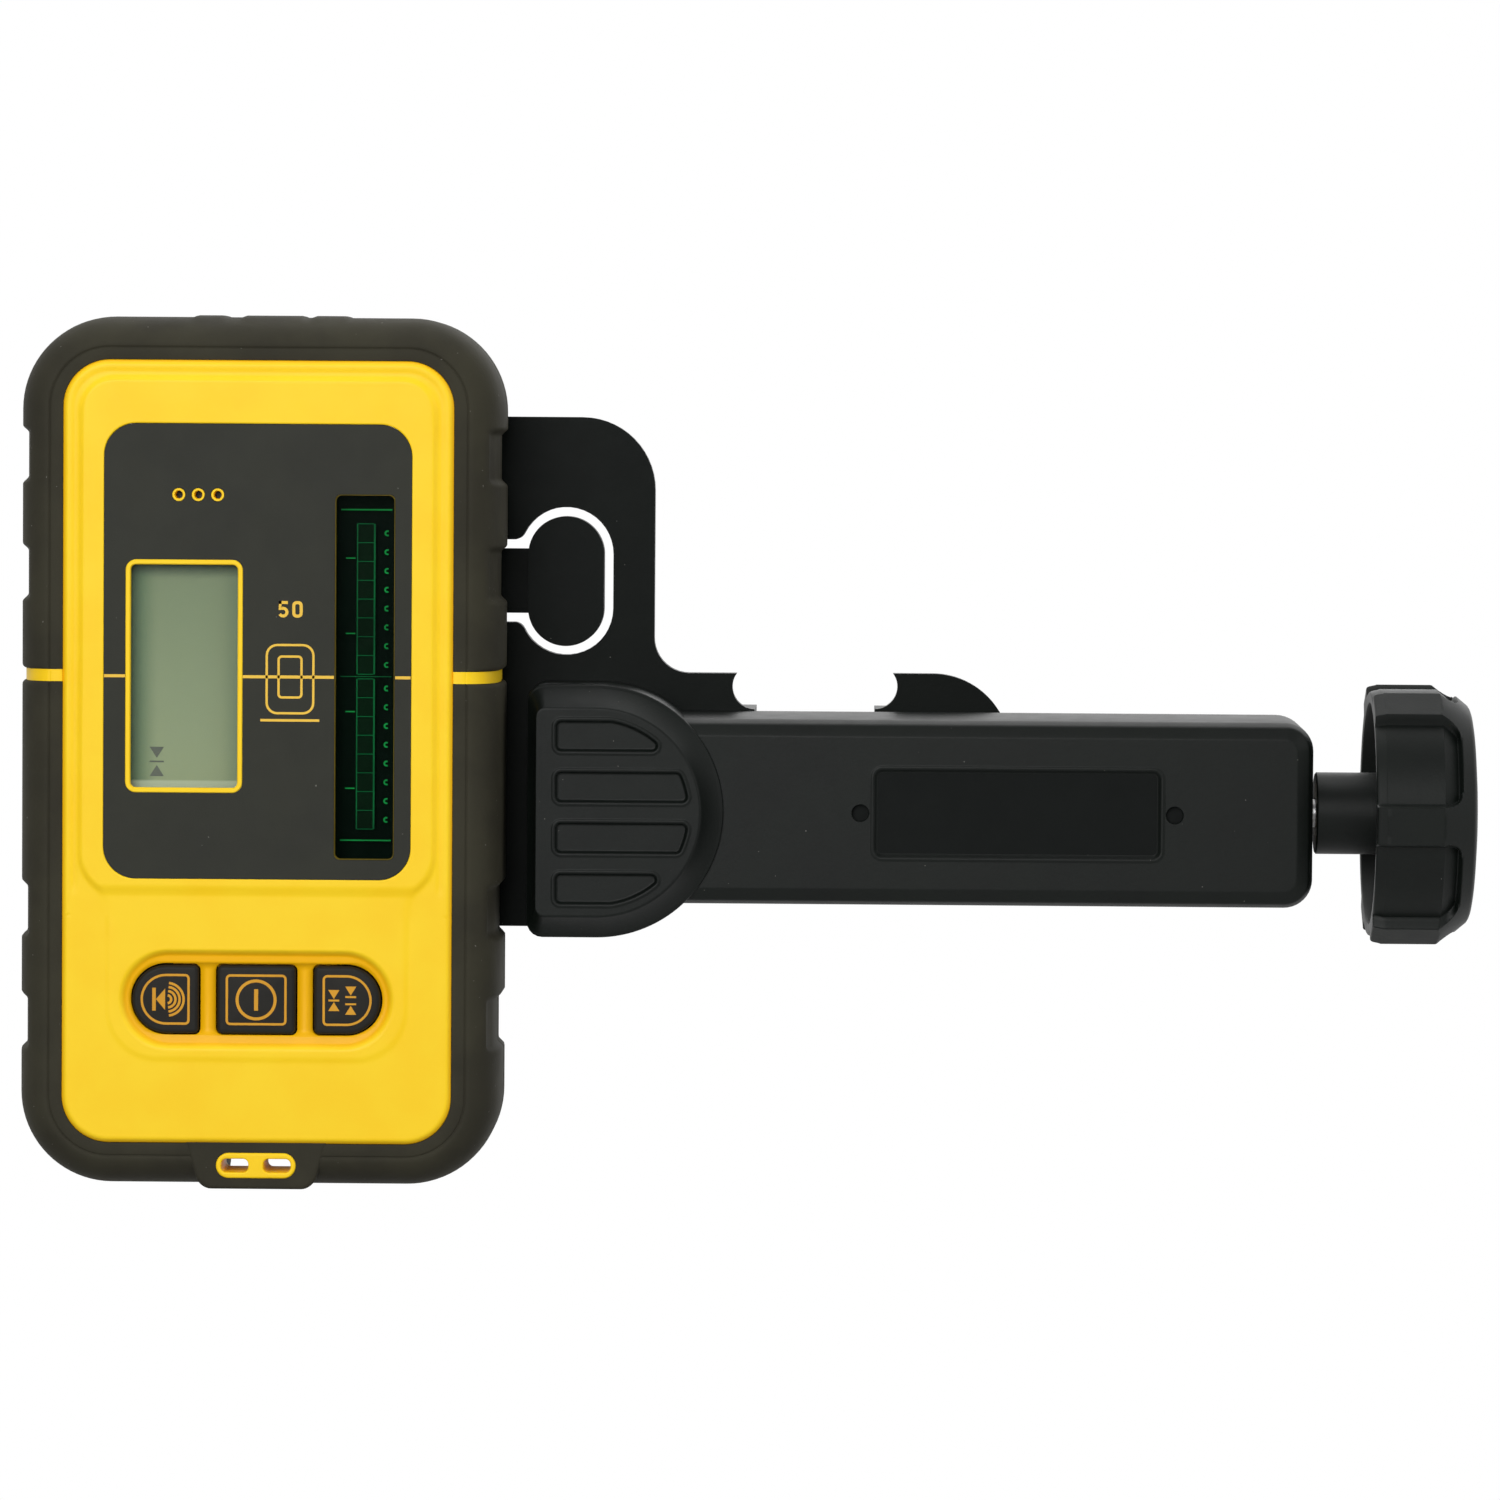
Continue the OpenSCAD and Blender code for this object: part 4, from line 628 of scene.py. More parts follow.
def key_print(which, body, name, signs):
    """The border line and the sign on a key, as thin plates on its crown."""
    shell = Shell()
    low = key_top_y - print_up
    border = [placed(key_loop(which, inset, border_corner)) for inset in (border_in, border_in + border_w)]
    moved = [[placed(loop + [which * key_x, key_z]) for loop in loops] for loops in signs]
    for loops in (border, *moved):
        prism(shell, low, low + print_t, *loops)
    piece(name, shell, body, amber)


speaker = [[bar(-1.8, -1.3, -1.6, 1.6)], [np.array([[-1.28, 0.0], [0.0, -1.5], [0.0, 1.5]])]]
speaker += [[ribbon(arc(0.3, 0, radius, -84, 84), 0.34)] for radius in (0.55, 1.15, 1.72, 2.28)]
power = [[circle(0, 0, 2.86, 48), circle(0, 0, 2.44, 48)], [bar(-0.28, 0.28, -1.5, 1.5)]]
pair = []
for x, gap, heights in ((-1.85, 0.22, (0.0,)), (0.5, 0.72, (0.5, -0.5))):
    pair += [[arrow(x, gap, 1.55, -1.25)], [arrow(x, -gap, 1.55, 1.25)]]
    pair += [[bar(x - 0.75, x + 0.75, z - 0.13, z + 0.13)] for z in heights]
for which, body, node, signs in ((-1, "sound_key", "key_sound", speaker),
                                 (0, "power_key", "key_power", power),
                                 (1, "accuracy_key", "key_accuracy", pair)):
    key_cap(which, body, node)
    key_print(which, body, node + "_sign", signs)

# %% [markdown]
# ## Film, display rim and sound holes
# A dark film is let into the field. The case shows through it in three places: a thin frame round the
# display, three little rings round the sound holes, and an edge round the window, painted olive as shade.

# %% Film
lcd_x, lcd_w, lcd_h, lcd_rim = -10.2, 14.9, 31.0, 0.72
window_x, window_w, window_h = 14.9, 8.1, 50.5
hole_x, hole_step, hole_z = -8.3, 2.7, 25.2
hole_r, ring_r = 0.55, 0.95
three = (-1, 0, 1)


def lcd_loop(grow, radius):
    return placed(box_at(lcd_x, 0, lcd_w, lcd_h, radius, 8, grow))


def window_loop(grow):
    return placed(box_at(window_x, 0, window_w, window_h, 0.8, 6, grow))


def sound_loop(number, radius):
    return placed(circle(hole_x + number * hole_step, hole_z, radius, 24))


panel = Shell()
panel_loop = rounded_box(seat_gap - panel_half, panel_half - seat_gap, panel_z0 + seat_gap,
                         panel_z1 - seat_gap, panel_radius, 14)
prism(panel, front_y, panel_high[1], placed(panel_loop), lcd_loop(lcd_rim, 1.5), window_loop(0.14),
      *[sound_loop(number, ring_r) for number in three])
piece("front_film", panel, FIXED, film, ["front_panel"])

# %% Rims in the film
trim_deep, trim_gap = 0.45, 0.03


def trim_ring(shell, outer, inner, y_top, y_in):
    """A frame with a soft edge, as shares of the way from the outer loop to the inner one: outer wall,
    rounded top, inner wall, and back."""
    y_out = front_y + trim_deep
    steps = ((0, y_out), (0, y_top + 0.12), (0.15, y_top), (0.8, y_top), (1, y_top + 0.15), (1, y_in),
             (0, y_out))
    shell.loft([at_depth((1 - share) * outer + share * inner, y) for share, y in steps])


rims = Shell()
lens_y = corners("lcd_window")[0][1]
trim_ring(rims, lcd_loop(lcd_rim - trim_gap, 1.47), lcd_loop(0, 0.75), front_y - 0.12, lens_y - 0.02)
for number in three:
    trim_ring(rims, sound_loop(number, ring_r - trim_gap), sound_loop(number, hole_r), front_y - 0.05,
              front_y + 2.4)
piece("face_rims", rims, FIXED, yellow)
# The window's edge is the case's yellow with painted shade, in olive.
window_edge = Shell()
trim_ring(window_edge, window_loop(0.11), window_loop(0.0), front_y + 0.03, front_y + 1.4)
piece("window_rim", window_edge, FIXED, painted_shade_yellow)

# %% Print on the film
printed = Shell()
line_w, frame_w = 0.42, 0.32


def film_print(*loops):
    prism(printed, front_y - 0.03, front_y + 0.1, *[placed(loop) for loop in loops])


def frame_print(x, z, width, height, radius, line, inner_radius):
    """The outline of a rounded box, as a line of even width inside it."""
    film_print(box_at(x, z, width, height, radius, 6), box_at(x, z, width, height, inner_radius, 6, -line))


lcd_edge, window_edge_x = lcd_w / 2 + lcd_rim, window_w / 2 + 0.2
for x0, x1 in ((0.1 - panel_half, lcd_x - lcd_edge), (lcd_x + lcd_edge, window_x - window_edge_x),
               (window_x + window_edge_x, panel_half - 0.1)):
    film_print(bar(x0, x1, -line_w / 2, line_w / 2))
sign_x = 4.55
frame_print(sign_x, -0.3, 6.8, 9.8, 1.6, frame_w, 1.3)
frame_print(sign_x, 0, 3.5, 6.0, 0.6, frame_w, 0.3)
film_print(bar(sign_x - 4.1, sign_x + 4.1, -6.2, -5.85))
digit_z, digit_h, digit_w, stroke = 9.4, 2.3, 1.45, 0.42
digit_top = digit_z + digit_h / 2
frame_print(sign_x + 1.0, digit_z, digit_w, digit_h, 0.6, stroke, 0.25)
five_x = sign_x - 1.0
film_print(ribbon(arc(five_x, digit_z - 0.4, 0.54, 115, -150, 14), stroke))
film_print(bar(five_x - 0.6, five_x + 0.66, digit_top - stroke, digit_top))
film_print(bar(five_x - 0.6, five_x - 0.22, digit_z - 0.1, digit_top))
piece("film_print", printed, FIXED, print_gold)

# %% [markdown]
# ## Display
# Behind a clear lens lies a grey-green liquid-crystal glass. Light and shade are painted into its colour:
# brighter in its middle, where it throws light back, painted shade along its sides and top, and a painted
# reflection along its lower edge. Two arrow tips and a bar are switched on in a corner.

# %% Display finishes
crystal = material("lcd_glass")
x, _, z = crystal.axes()
up = (z - ref_z * MM) * (1 / (lcd_h * MM)) + 0.5
lcd_mid = mid_x + lcd_x
# Painted shadow of the rim down the left side and painted shade down the right side.
left_painted_shadow = crystal.ramp(x, (lcd_mid - 3.6) * MM, (lcd_mid - 7.2) * MM)
right_painted_shade = crystal.ramp(x, (lcd_mid + 4.6) * MM, (lcd_mid + 7.6) * MM)
# A gradient up the glass, then painted shade at the sides and top and a bright painted reflection at the
# foot.
tone = crystal.blend(crystal.ramp(up, 0.0, 1.1), colour(140, 155, 118), colour(120, 137, 104))
for share, shade in ((left_painted_shadow * 0.8, colour(62, 98, 66)), (right_painted_shade * 0.45, colour(84, 112, 86)),
                     (crystal.ramp(up, 0.93, 1.0) * 0.8, colour(58, 84, 62)),
                     (crystal.ramp(up, 0.034, 0.022) * 0.6, colour(190, 202, 176))):
    tone = crystal.blend(share, tone, shade)
lcd_glass = crystal.finish(Base_Color=tone, Roughness=0.35 + 0.1 * crystal.noise(0.25),
                           Specular_IOR_Level=0.06)

clear = material("clear_lens")
haze = clear.noise(4.0, 3.0)
clear_lens = clear.finish(Base_Color=clear.blend(haze, (0.5, 0.55, 0.5, 1), (0.55, 0.6, 0.55, 1)),
                          Roughness=0.08 + 0.06 * haze, Alpha=0.03 + 0.02 * haze, Specular_IOR_Level=0.2)

# %% Segments
tips = Shell()
tips_y = corners("lcd_module")[0][1] - 0.05
tips_x, tips_z = -14.2, -12.0
for outer in (arrow(tips_x, tips_z + 0.5, 2.0, -1.55), arrow(tips_x, tips_z - 0.5, 2.0, 1.55),
              bar(tips_x - 1.0, tips_x + 1.0, tips_z - 0.12, tips_z + 0.12)):
    prism(tips, tips_y, tips_y + 0.2, placed(outer))
piece("display_segments", tips, FIXED, segment)

# %% [markdown]
# ## Sensor window
# The window is a dark green filter, and the diodes show through it as a ladder of green lines with
# their contacts beside them. Glass could be traced with refraction, but a filter this dark only lets a
# tint through, so its surface is partly see-through and glossy, and the ladder lies behind it.

# %% Window finishes
filter_tint = material("green_filter")
streak = filter_tint.noise(5.0, 3.0)
green_filter = filter_tint.finish(
    Base_Color=filter_tint.blend(streak, (0.0006, 0.008, 0.004, 1), (0.001, 0.013, 0.006, 1)),
    Roughness=0.1 + 0.08 * streak, Alpha=0.06 + 0.03 * streak, Specular_IOR_Level=0.05)
ladder_green = moulded("ladder_green", (0.004, 0.17, 0.045, 1), (0.003, 0.1, 0.03, 1), 0.5, 0.1,
                       level=0.04)
contact_green = moulded("contact_green", (0.01, 0.42, 0.08, 1), (0.008, 0.3, 0.06, 1), 0.5, 0.1,
                        level=0.04)
cell_green = moulded("cell_green", (0.0004, 0.012, 0.003, 1), (0.0003, 0.008, 0.002, 1), 0.5, 0.1,
                     level=0.03)
deep_green = moulded("window_floor", (0.0006, 0.004, 0.002, 1), (0.0004, 0.003, 0.0016, 1), 0.5, 0.2,
                     level=0.02)

# %% Cells, ladder and contacts
diode_low, diode_high = corners("photodiodes")
column_x0, column_x1 = diode_low[0] - mid_x - 0.6, diode_high[0] - mid_x - 0.4
half_cells, cell_pitch, cell_high, middle_gap = 8, 2.62, 2.3, 0.65
ladder_y, ladder_t = diode_low[1] - 0.06, 0.12
left_w, right_w, rung_w = 0.16, 0.24, 0.12
cross_x0, cross_x1, mark_x0, mark_x1 = 11.3, 18.4, 12.0, 13.3
column, ladder, contacts = Shell(), Shell(), Shell()


def trace(shell, loop, ahead=0.0):
    """A thin plate in the plane of the ladder, or a little ahead of it."""
    prism(shell, ladder_y - ahead, ladder_y - ahead + ladder_t, placed(loop))


for sign in (-1, 1):
    rungs = sign * (middle_gap / 2 + cell_pitch * np.arange(half_cells + 1))
    rails = [(column_x0, column_x0 + left_w), (column_x1 - right_w, column_x1)]
    for rail in rails:
        trace(ladder, bar(*rail, min(rungs), max(rungs)))
    for z in rungs:
        trace(ladder, bar(rails[0][1], rails[1][0], z - rung_w / 2, z + rung_w / 2))
    for z in (rungs[1:] + rungs[:-1]) / 2:
        prism(column, diode_low[1], diode_high[1],
              placed(bar(column_x0, column_x1, z - cell_high / 2, z + cell_high / 2)))
        trace(contacts, ribbon(arc(17.75, z, 0.3, 60, 300), 0.22))
trace(ladder, bar(cross_x0, cross_x1, -0.05, 0.05), 0.1)
for z in (window_h / 2 - 2.0, 2.4 - window_h / 2):
    trace(contacts, bar(cross_x0, cross_x1, z - 0.09, z + 0.09), 0.1)
for z in (16.5, 6.0, -4.9, -15.6):
    trace(contacts, bar(mark_x0, mark_x1, z - 0.08, z + 0.08))
piece("diode_cells", column, FIXED, cell_green, ["photodiodes"])
piece("ladder_lines", ladder, FIXED, ladder_green)
piece("diode_contacts", contacts, FIXED, contact_green)

# %% [markdown]
# ## Rubber guards
# The rubber is moulded round each case half. Its section is a flat land beside the yellow face, a
# crease, a long round shoulder and a side that ends at the parting line. Sweeping that section along the
# outline is a profile carried along a path: every path point mixes the guard's outline with the
# face's outline, so the land follows the one and the side the other. Grip hollows are an extra inset that
# depends on the place along the side.

# %% The guards' path
def arch(half_w, start, reach, radius, split=None):
    """Up the left side from `start`, round a quarter circle, across at `reach`, and down the right. With
    a split it is only the left half, and ends that far from the middle."""
    lead = np.array([0, 0.05, 0.14, 0.28, 0.45, 0.7])
    left_z = np.concatenate([start + lead, np.linspace(start + 1.0, reach - radius, 150)])
    left = columns(-half_w, left_z)
    turn = np.linspace(math.pi, math.pi / 2, 21)[1:-1]
    bend = around(radius - half_w, reach - radius, radius, turn)
    end = half_w - radius
    halfway = np.linspace(-end, -split, 30) if split else np.linspace(-end, 0, 60)[:-1]
    half = np.concatenate([left, bend, columns(halfway, reach)])
    if split:
        return half
    return np.concatenate([half, [[0.0, reach]], half[::-1] * [-1, 1]])


# %% The guards' section
section_in = np.array([4.55, 4.4, 3.9, 3.2, 2.5, 1.85, 1.3, 0.85, 0.5, 0.25, 0.08, 0.0, 0.0, 0.0])
section_deep = np.array([0.05, 0.0, 0.1, 0.42, 0.95, 1.65, 2.5, 3.6, 4.9, 6.5, 8.5, 10.5, 12.5, 14.4])


def section(depth_to_part, edge_in):
    """Closed section as (inset, depth, weight): inner edge, land, crease, shoulder, side, parting edge,
    and the hidden way back along the case. Weight 1 marks the outer skin, which the hollows move."""
    land = [(edge_in, 1.2, 0), (edge_in, 0.12, 0), (edge_in - 0.05, 0.03, 0), (edge_in - 0.15, 0.0, 0),
            (5.0, 0.0, 0), (4.86, 0.05, 0), (4.74, 0.17, 0), (4.64, 0.14, 0)]
    stretch = (depth_to_part - 0.3) / section_deep[-1]
    skin = [(i, d * stretch, 1) for i, d in zip(section_in, section_deep)]
    edge = [(0.06, depth_to_part - 0.14, 1), (0.3, depth_to_part - 0.04, 1), (0.55, depth_to_part, 1)]
    back = [(2.5, depth_to_part, 0), (2.5, 2.2, 0)]
    return np.array(land + skin + edge + back)


# %% The guards' skin
hollows = (30.6, 14.2, -32.8, -48.5)
hollow_h, hollow_deep, hollow_slope = 8.2, 0.85, 1.1
top_pads, pad_slope, pad_high = ((-10.0, -5.0), (-3.2, 6.0), (6.6, 12.2)), 0.8, 0.28
end_round = 0.6


def guard_skin(path, inner, cut, y_land, toward):
    """Points of a guard, path by section. The inset moves a point from the outer path to the inner one;
    hollows and pads add to it, and so does a round edge at the ends of the path."""
    inset, deep, skin = cut.T
    z, x = path[:, 1][:, None], path[:, 0][:, None]
    hollow = sum(smooth_step(hollow_h / 2, hollow_h / 2 - hollow_slope, np.abs(z - at)) for at in hollows)
    pad = sum(smooth_step(a, a + pad_slope, x) * smooth_step(b, b - pad_slope, x) for a, b in top_pads)
    pad = pad * (z > top - 0.01)
    to_end = np.minimum(np.abs(z) - notch, end_round)
    ends = end_round - np.sqrt(np.maximum(end_round ** 2 - (end_round - to_end) ** 2, 0))
    moved = ends + hollow_deep * hollow * smooth_step(1.8, 3.2, deep)
    moved = moved - pad_high * pad * smooth_step(3, 6, deep)
    share = (inset + skin * moved) / side_margin
    flat = path[:, None, :] + share[..., None] * (inner - path)[:, None, :]
    return columns(flat[..., 0] + mid_x, y_land + toward * deep, flat[..., 1] + ref_z)


# %% Four guards
eye_x = 5.6


def guard(upper, y_land, toward):
    """One guard; a lower one is two runs that leave the middle free behind the lanyard eye."""
    shell = Shell()
    cut = section(toward * (part_y - y_land), side_margin)
    reach, face_reach = (top, face_top) if upper else (-bottom, -face_bottom)
    split = None if upper else eye_x
    for mirror in ((1,) if upper else (1, -1)):
        flip = np.array([mirror, 1 if upper else -1])
        path = arch(side, notch, reach, guard_radius, split) * flip
        inner = arch(face_side, notch, face_reach, face_radius, split) * flip
        shell.closed(guard_skin(path, inner, cut, y_land, toward))
    return shell


for half, y_land, toward in (("front", land_y, 1), ("rear", rear_land_y, -1)):
    for level in ("upper", "lower"):
        node = half + "_guard_" + level
        shell = guard(level == "upper", y_land, toward)
        piece(node + "_rubber", shell, FIXED, rubber, [node], sharp=42)

# %% [markdown]
# ## Lanyard eye, its tab and the reference marks
# At the lower edge a yellow eye with two slots takes a wrist cord. The rubber swells to a tab round it.
# On both sides a yellow rib of the case shows in the notch between the guards, level with the
# reference line.

# %% Tab and eye
eye_z, eye_w, eye_h = -68.2, 11.2, 3.6
slot_x, slot_w, slot_h, slot_r = 2.95, 3.8, 1.9, 0.75
tab_front, tab_back = land_y - 0.1, land_y + 9.0
tab_low, tab_high, tab_half, tab_widen = lower_low[2] - ref_z, -65.0, 7.9, 0.25 / 6.5
eye_gap, eye_y = 0.02, land_y - 0.3


def tab_loop(inset):
    """A box that narrows downwards: the half width grows with the height above its lower edge."""
    loop = rounded_box(-tab_half, tab_half, tab_low + inset, tab_high, [1.6, 0.05, 0.05, 1.6], 8)
    across = np.maximum(np.abs(loop[:, 0]) - inset, 0.1)
    loop[:, 0] = np.sign(loop[:, 0]) * across * (1 + tab_widen * (loop[:, 1] - tab_low))
    return placed(loop)


def eye_loop(inset):
    return placed(box_at(0, eye_z, eye_w, eye_h, eye_h / 2 - inset, 10, -inset))


def slot_loop(where, grow):
    return placed(box_at(where, eye_z, slot_w, slot_h, slot_r + grow, 8, grow))


tab = Shell()
tab_rows = stacked(tab_loop, [(0, tab_back), *round_over(0.5, tab_front)])
hole = stacked(eye_loop, [(0, tab_front), (0, tab_back)])
tab.loft(tab_rows)
tab.cap(tab_rows[-1], hole[0])
tab.cap(tab_rows[0], hole[1])
tab.loft(hole)
piece("eye_tab", tab, FIXED, rubber)

eye = Shell()
eye_rows = stacked(eye_loop, [(eye_gap, tab_back), *(round_over(0.3, eye_y) + [eye_gap, 0])])
eye.loft(eye_rows)
slots = []
for where in (-slot_x, slot_x):
    slots.append(stacked(lambda grow: slot_loop(where, grow), [(0, tab_back), *round_over(0.22, eye_y)]))
    eye.loft(slots[-1])
eye.cap(eye_rows[-1], *[slot[-1] for slot in slots])
eye.cap(eye_rows[0], *[slot[0] for slot in slots])
sole_x, sole_z = eye_x + 0.1, corners("rear_case")[0][2] - ref_z
prism(eye, land_y + 0.6, part_y, placed(bar(-sole_x, sole_x, sole_z, sole_z + 1.8)))

# %% Reference marks
mark_cut = section(part_y - land_y, side_margin)
mark_in = np.clip(mark_cut[:, 0] + 0.55 * mark_cut[:, 2], 0, side_margin + 0.4)
mark_y = land_y + mark_cut[:, 1] - 0.06 * (1 - mark_cut[:, 2])
for sign in (-1, 1):
    mark_x = sign * (side - mark_in) + mid_x
    eye.closed([columns(mark_x, mark_y, ref_z + z) for z in (0.02 - notch, notch - 0.02)])
piece("eye_and_marks", eye, FIXED, yellow)

# %% [markdown]
# ## Thumb grip and bar
# The clamp's housing is one black moulding: a D-shaped grip with four finger pockets and a long bar
# with a framed recess. Each is a stack of outlines; the pockets are bands cut off by the grip's own arc,
# with rounded corners.

# %% Sizes of the housing
housing_low, housing_high = corners("clamp_housing")
grip_left, bar_right = housing_low[0], housing_high[0]
grip_y, housing_back = housing_low[1], housing_high[1]
grip_r = housing_high[2]
grip_x = grip_left + 9.8
bar_y = grip_y + 4.0
bar_half = 13.65
pocket_r, pocket_h, pocket_step, pocket_left = 13.1, 4.4, 7.15, grip_left + 4.0
pocket_deep, pocket_soft = 0.6, 0.9
lip = 0.12
print("grip", 2 * grip_r, "mm high, bar", 2 * bar_half)


def pocket_loop(middle, inset):
    """A band between two heights, from the left side to an arc round the grip's middle. Each of its four
    corners is a small arc: the centres stay, and `inset` takes as much from every radius."""
    low, high = middle - pocket_h / 2 + pocket_soft, middle + pocket_h / 2 - pocket_soft
    ends = [math.asin(z / (pocket_r - pocket_soft)) for z in (low, high)]
    corner_x = [(pocket_r - pocket_soft) * math.cos(end) for end in ends]
    corner_x += [pocket_left + pocket_soft - grip_x] * 2
    stops = [-math.pi / 2, *ends, math.pi / 2, math.pi, math.pi * 1.5]
    turns = [stops[:2], stops[2:4], stops[3:5], stops[4:6]]
    parts = [around(x, z, pocket_soft - inset, np.linspace(*turn, 9))
             for x, z, turn in zip(corner_x, (low, high, high, low), turns)]
    parts.insert(1, around(0, 0, pocket_r - inset, np.linspace(*ends, 12)[1:-1]))
    return np.concatenate(parts) + [grip_x, 0]


# %% The grip
def grip_loop(inset):
    """The grip's outline: drawn in less on the straight left side, where the slope is steep."""
    return d_shape(grip_left - 0.58 * inset, grip_x, grip_r, 2.2 + 0.7 * inset, inset, 64)


grip = Shell()
slope = ((0.0, housing_back), (0.0, bar_y - 0.2), (0.05, bar_y - 0.38), (0.18, bar_y - 0.5),
         (0.36, bar_y - 0.56), (0.55, bar_y - 0.66), (2.85, grip_y + 0.5), (2.98, grip_y + 0.24),
         (3.12, grip_y + 0.06), (3.3, grip_y), (3.45, grip_y))
grip_rows = stacked(grip_loop, slope)
grip.loft(grip_rows)
grip.cap(grip_rows[0])
pocket_steps = [(inset, grip_y + deep) for inset, deep in (
    (-0.6, 0), (-0.5, 0), (-0.42, -0.4 * lip), (-0.28, -lip), (-0.08, -lip), (0.06, -0.2 * lip),
    (0.14, 0.15), (0.3, pocket_deep - 0.08), (0.42, pocket_deep), (0.54, pocket_deep))]
mouths = []
for middle in np.array([1.5, 0.5, -0.5, -1.5]) * pocket_step:
    mouths.append(grip.hollow(stacked(lambda inset: pocket_loop(middle, inset), pocket_steps)))
grip.cap(grip_rows[-1], *mouths)
piece("thumb_grip", grip, FIXED, black, ["clamp_housing"])

# %% Outlines of the bar
recess_x, recess_w, recess_h, recess_deep = 37.25, 40.4, 12.5, 0.5
dot_x, dot_r, dot_steps = 22.1, 1.2, 32
draft, bar_corner = 0.6, 4.6
channel_x0, channel_x1, channel_half, channel_y = -1.3, 75.4, 10.65, bar_y + 3.0


def bar_loop(inset):
    right = max(bar_corner - inset, 1.8)
    return rounded_box(grip_x, bar_right - max(inset - draft, 0), inset - bar_half, bar_half - inset,
                       [right, right, 0.01, 0.01], 10)


def recess_loop(inset):
    return box_at(recess_x, 0, recess_w, recess_h, max(1.2 - inset, 0.3), 6, -inset)


# %% The bar and its hollows
bar_shell, floors = Shell(), Shell()
bevel = ((0.0, housing_back), (draft, bar_y + 2.7), (0.68, bar_y + 2.35), (1.1, bar_y + 1.05),
         (1.25, bar_y + 0.78), (1.45, bar_y + 0.64), (2.75, bar_y + 0.08), (2.88, bar_y + 0.02),
         (3.0, bar_y), (3.1, bar_y))
bar_rows = stacked(bar_loop, bevel)
bar_shell.loft(bar_rows)
recess_floor = bar_y + recess_deep
recess_steps = ((-0.6, bar_y), (-0.5, bar_y), (-0.4, bar_y - 0.5 * lip), (-0.26, bar_y - lip),
                (-0.06, bar_y - lip), (0.08, bar_y - 0.2 * lip), (0.2, bar_y + 0.12),
                (0.44, recess_floor - 0.06), (0.56, recess_floor), (0.62, recess_floor))
mouths = [bar_shell.hollow(stacked(recess_loop, recess_steps))]
prism(floors, recess_floor - 0.03, recess_floor + 0.1, recess_loop(0.58))
dot_rows = [(inset, bar_y + deep) for inset, deep in (
    (-0.12, 0), (-0.06, 0.0), (0.0, 0.1), (0.0, 2.0), (0.6, 2.3))]
for where in (recess_x - dot_x, recess_x + dot_x):
    dot = stacked(lambda inset: circle(where, 0, dot_r - inset, dot_steps), dot_rows)
    mouths.append(bar_shell.hollow(dot))
    prism(floors, bar_y + 1.0, bar_y + 1.4, circle(where, 0, dot_r - 0.02, dot_steps))
bar_shell.cap(bar_rows[-1], *mouths)
channel = rounded_box(channel_x0, channel_x1, -channel_half, channel_half, 0.8, 4)
channel_mouth = bar_shell.hollow([at_depth(channel, housing_back), at_depth(channel, channel_y)])
bar_shell.cap(bar_rows[0], channel_mouth)
piece("clamp_bar", bar_shell, FIXED, black)
piece("hollow_floors", floors, FIXED, floor_black)

# %% [markdown]
# ## Knob
# The knob is a thick cup with six flat-topped ribs that run into a ring at its end. Turned on a lathe it
# would be a plain profile, and the ribs make its radius depend on the angle as well. So it is one grid:
# the steps of the profile by the angle, where the outer steps take the smaller of the turned radius and
# the rib pattern. The ribs widen towards the ring along a quarter circle, which rounds the hollows.

# %% Knob
knob_low, knob_high = corners("knob")
knob_y = (knob_low[1] + knob_high[1]) / 2
knob_r = (knob_high[1] - knob_low[1]) / 2
rim_x = knob_low[0] + 7.6
knob_len = knob_high[0] - rim_x
rib_count, rib_half, rib_edge, rib_deep = 6, 2.6, 0.75, 1.55
rib_turn = math.radians(-2.6)
flat_end, shoulder_end, shoulder_in = 0.61 * knob_len, 0.92 * knob_len, 3.9
cup_r = knob_r - rib_deep - 2.0
hub_r = 5.8
print("knob", 2 * knob_r, "mm across")

angle = np.linspace(0, 2 * math.pi, 720, endpoint=False)
rib_step = 2 * math.pi / rib_count
off_rib = np.abs((angle - rib_turn + rib_step / 2) % rib_step - rib_step / 2)
rib_top = np.minimum(knob_r * math.cos(math.asin(rib_half / knob_r)) / np.cos(off_rib), knob_r)

# %% The knob's skin
lip_u, lip_in = [0, 0.12, 0.4, 1.3, 1.45], [0.62, 0.42, 0.28, 0.08, 0.0]
end_u = shoulder_end + 0.25
outer_u = np.concatenate([lip_u, np.linspace(2, flat_end - 0.3, 12),
                          flat_end + np.array([-0.1, 0.12, 0.3]),
                          np.linspace(flat_end + 0.5, shoulder_end - 0.3, 36),
                          shoulder_end + np.array([-0.12, 0.1, 0.25])])
turned_u = lip_u + [flat_end - 0.1, flat_end + 0.12, shoulder_end - 0.12, shoulder_end + 0.1, end_u]
turned_in = lip_in + [0, 0.06, shoulder_in - 0.15, shoulder_in + 0.2, shoulder_in + 0.6]
turned = knob_r - np.interp(outer_u, turned_u, turned_in)
rim_in = np.interp(outer_u, lip_u, lip_in)
ring_u, hollow_corner, hollow_sunk = 0.79 * knob_len, 2.2, 1.4
sunk = hollow_sunk * smooth_step(flat_end - 0.1, flat_end + 0.4, outer_u)
sunk = sunk * smooth_step(ring_u + 0.35, ring_u - 0.45, outer_u)
past = np.clip(outer_u - ring_u + hollow_corner, 0, hollow_corner)
rib_side = (rib_half + hollow_corner - np.sqrt(hollow_corner ** 2 - past ** 2))[:, None]
valley = smooth_step(rib_side, rib_side + rib_edge, knob_r * np.sin(off_rib))
ribbed = rib_top - (rib_top - (knob_r - rib_deep)) * valley
skin_r = np.minimum(turned[:, None] - sunk[:, None] * valley, ribbed - rim_in[:, None])
crown_r = np.array([14.0, 10.0, 5.0, 1.0])
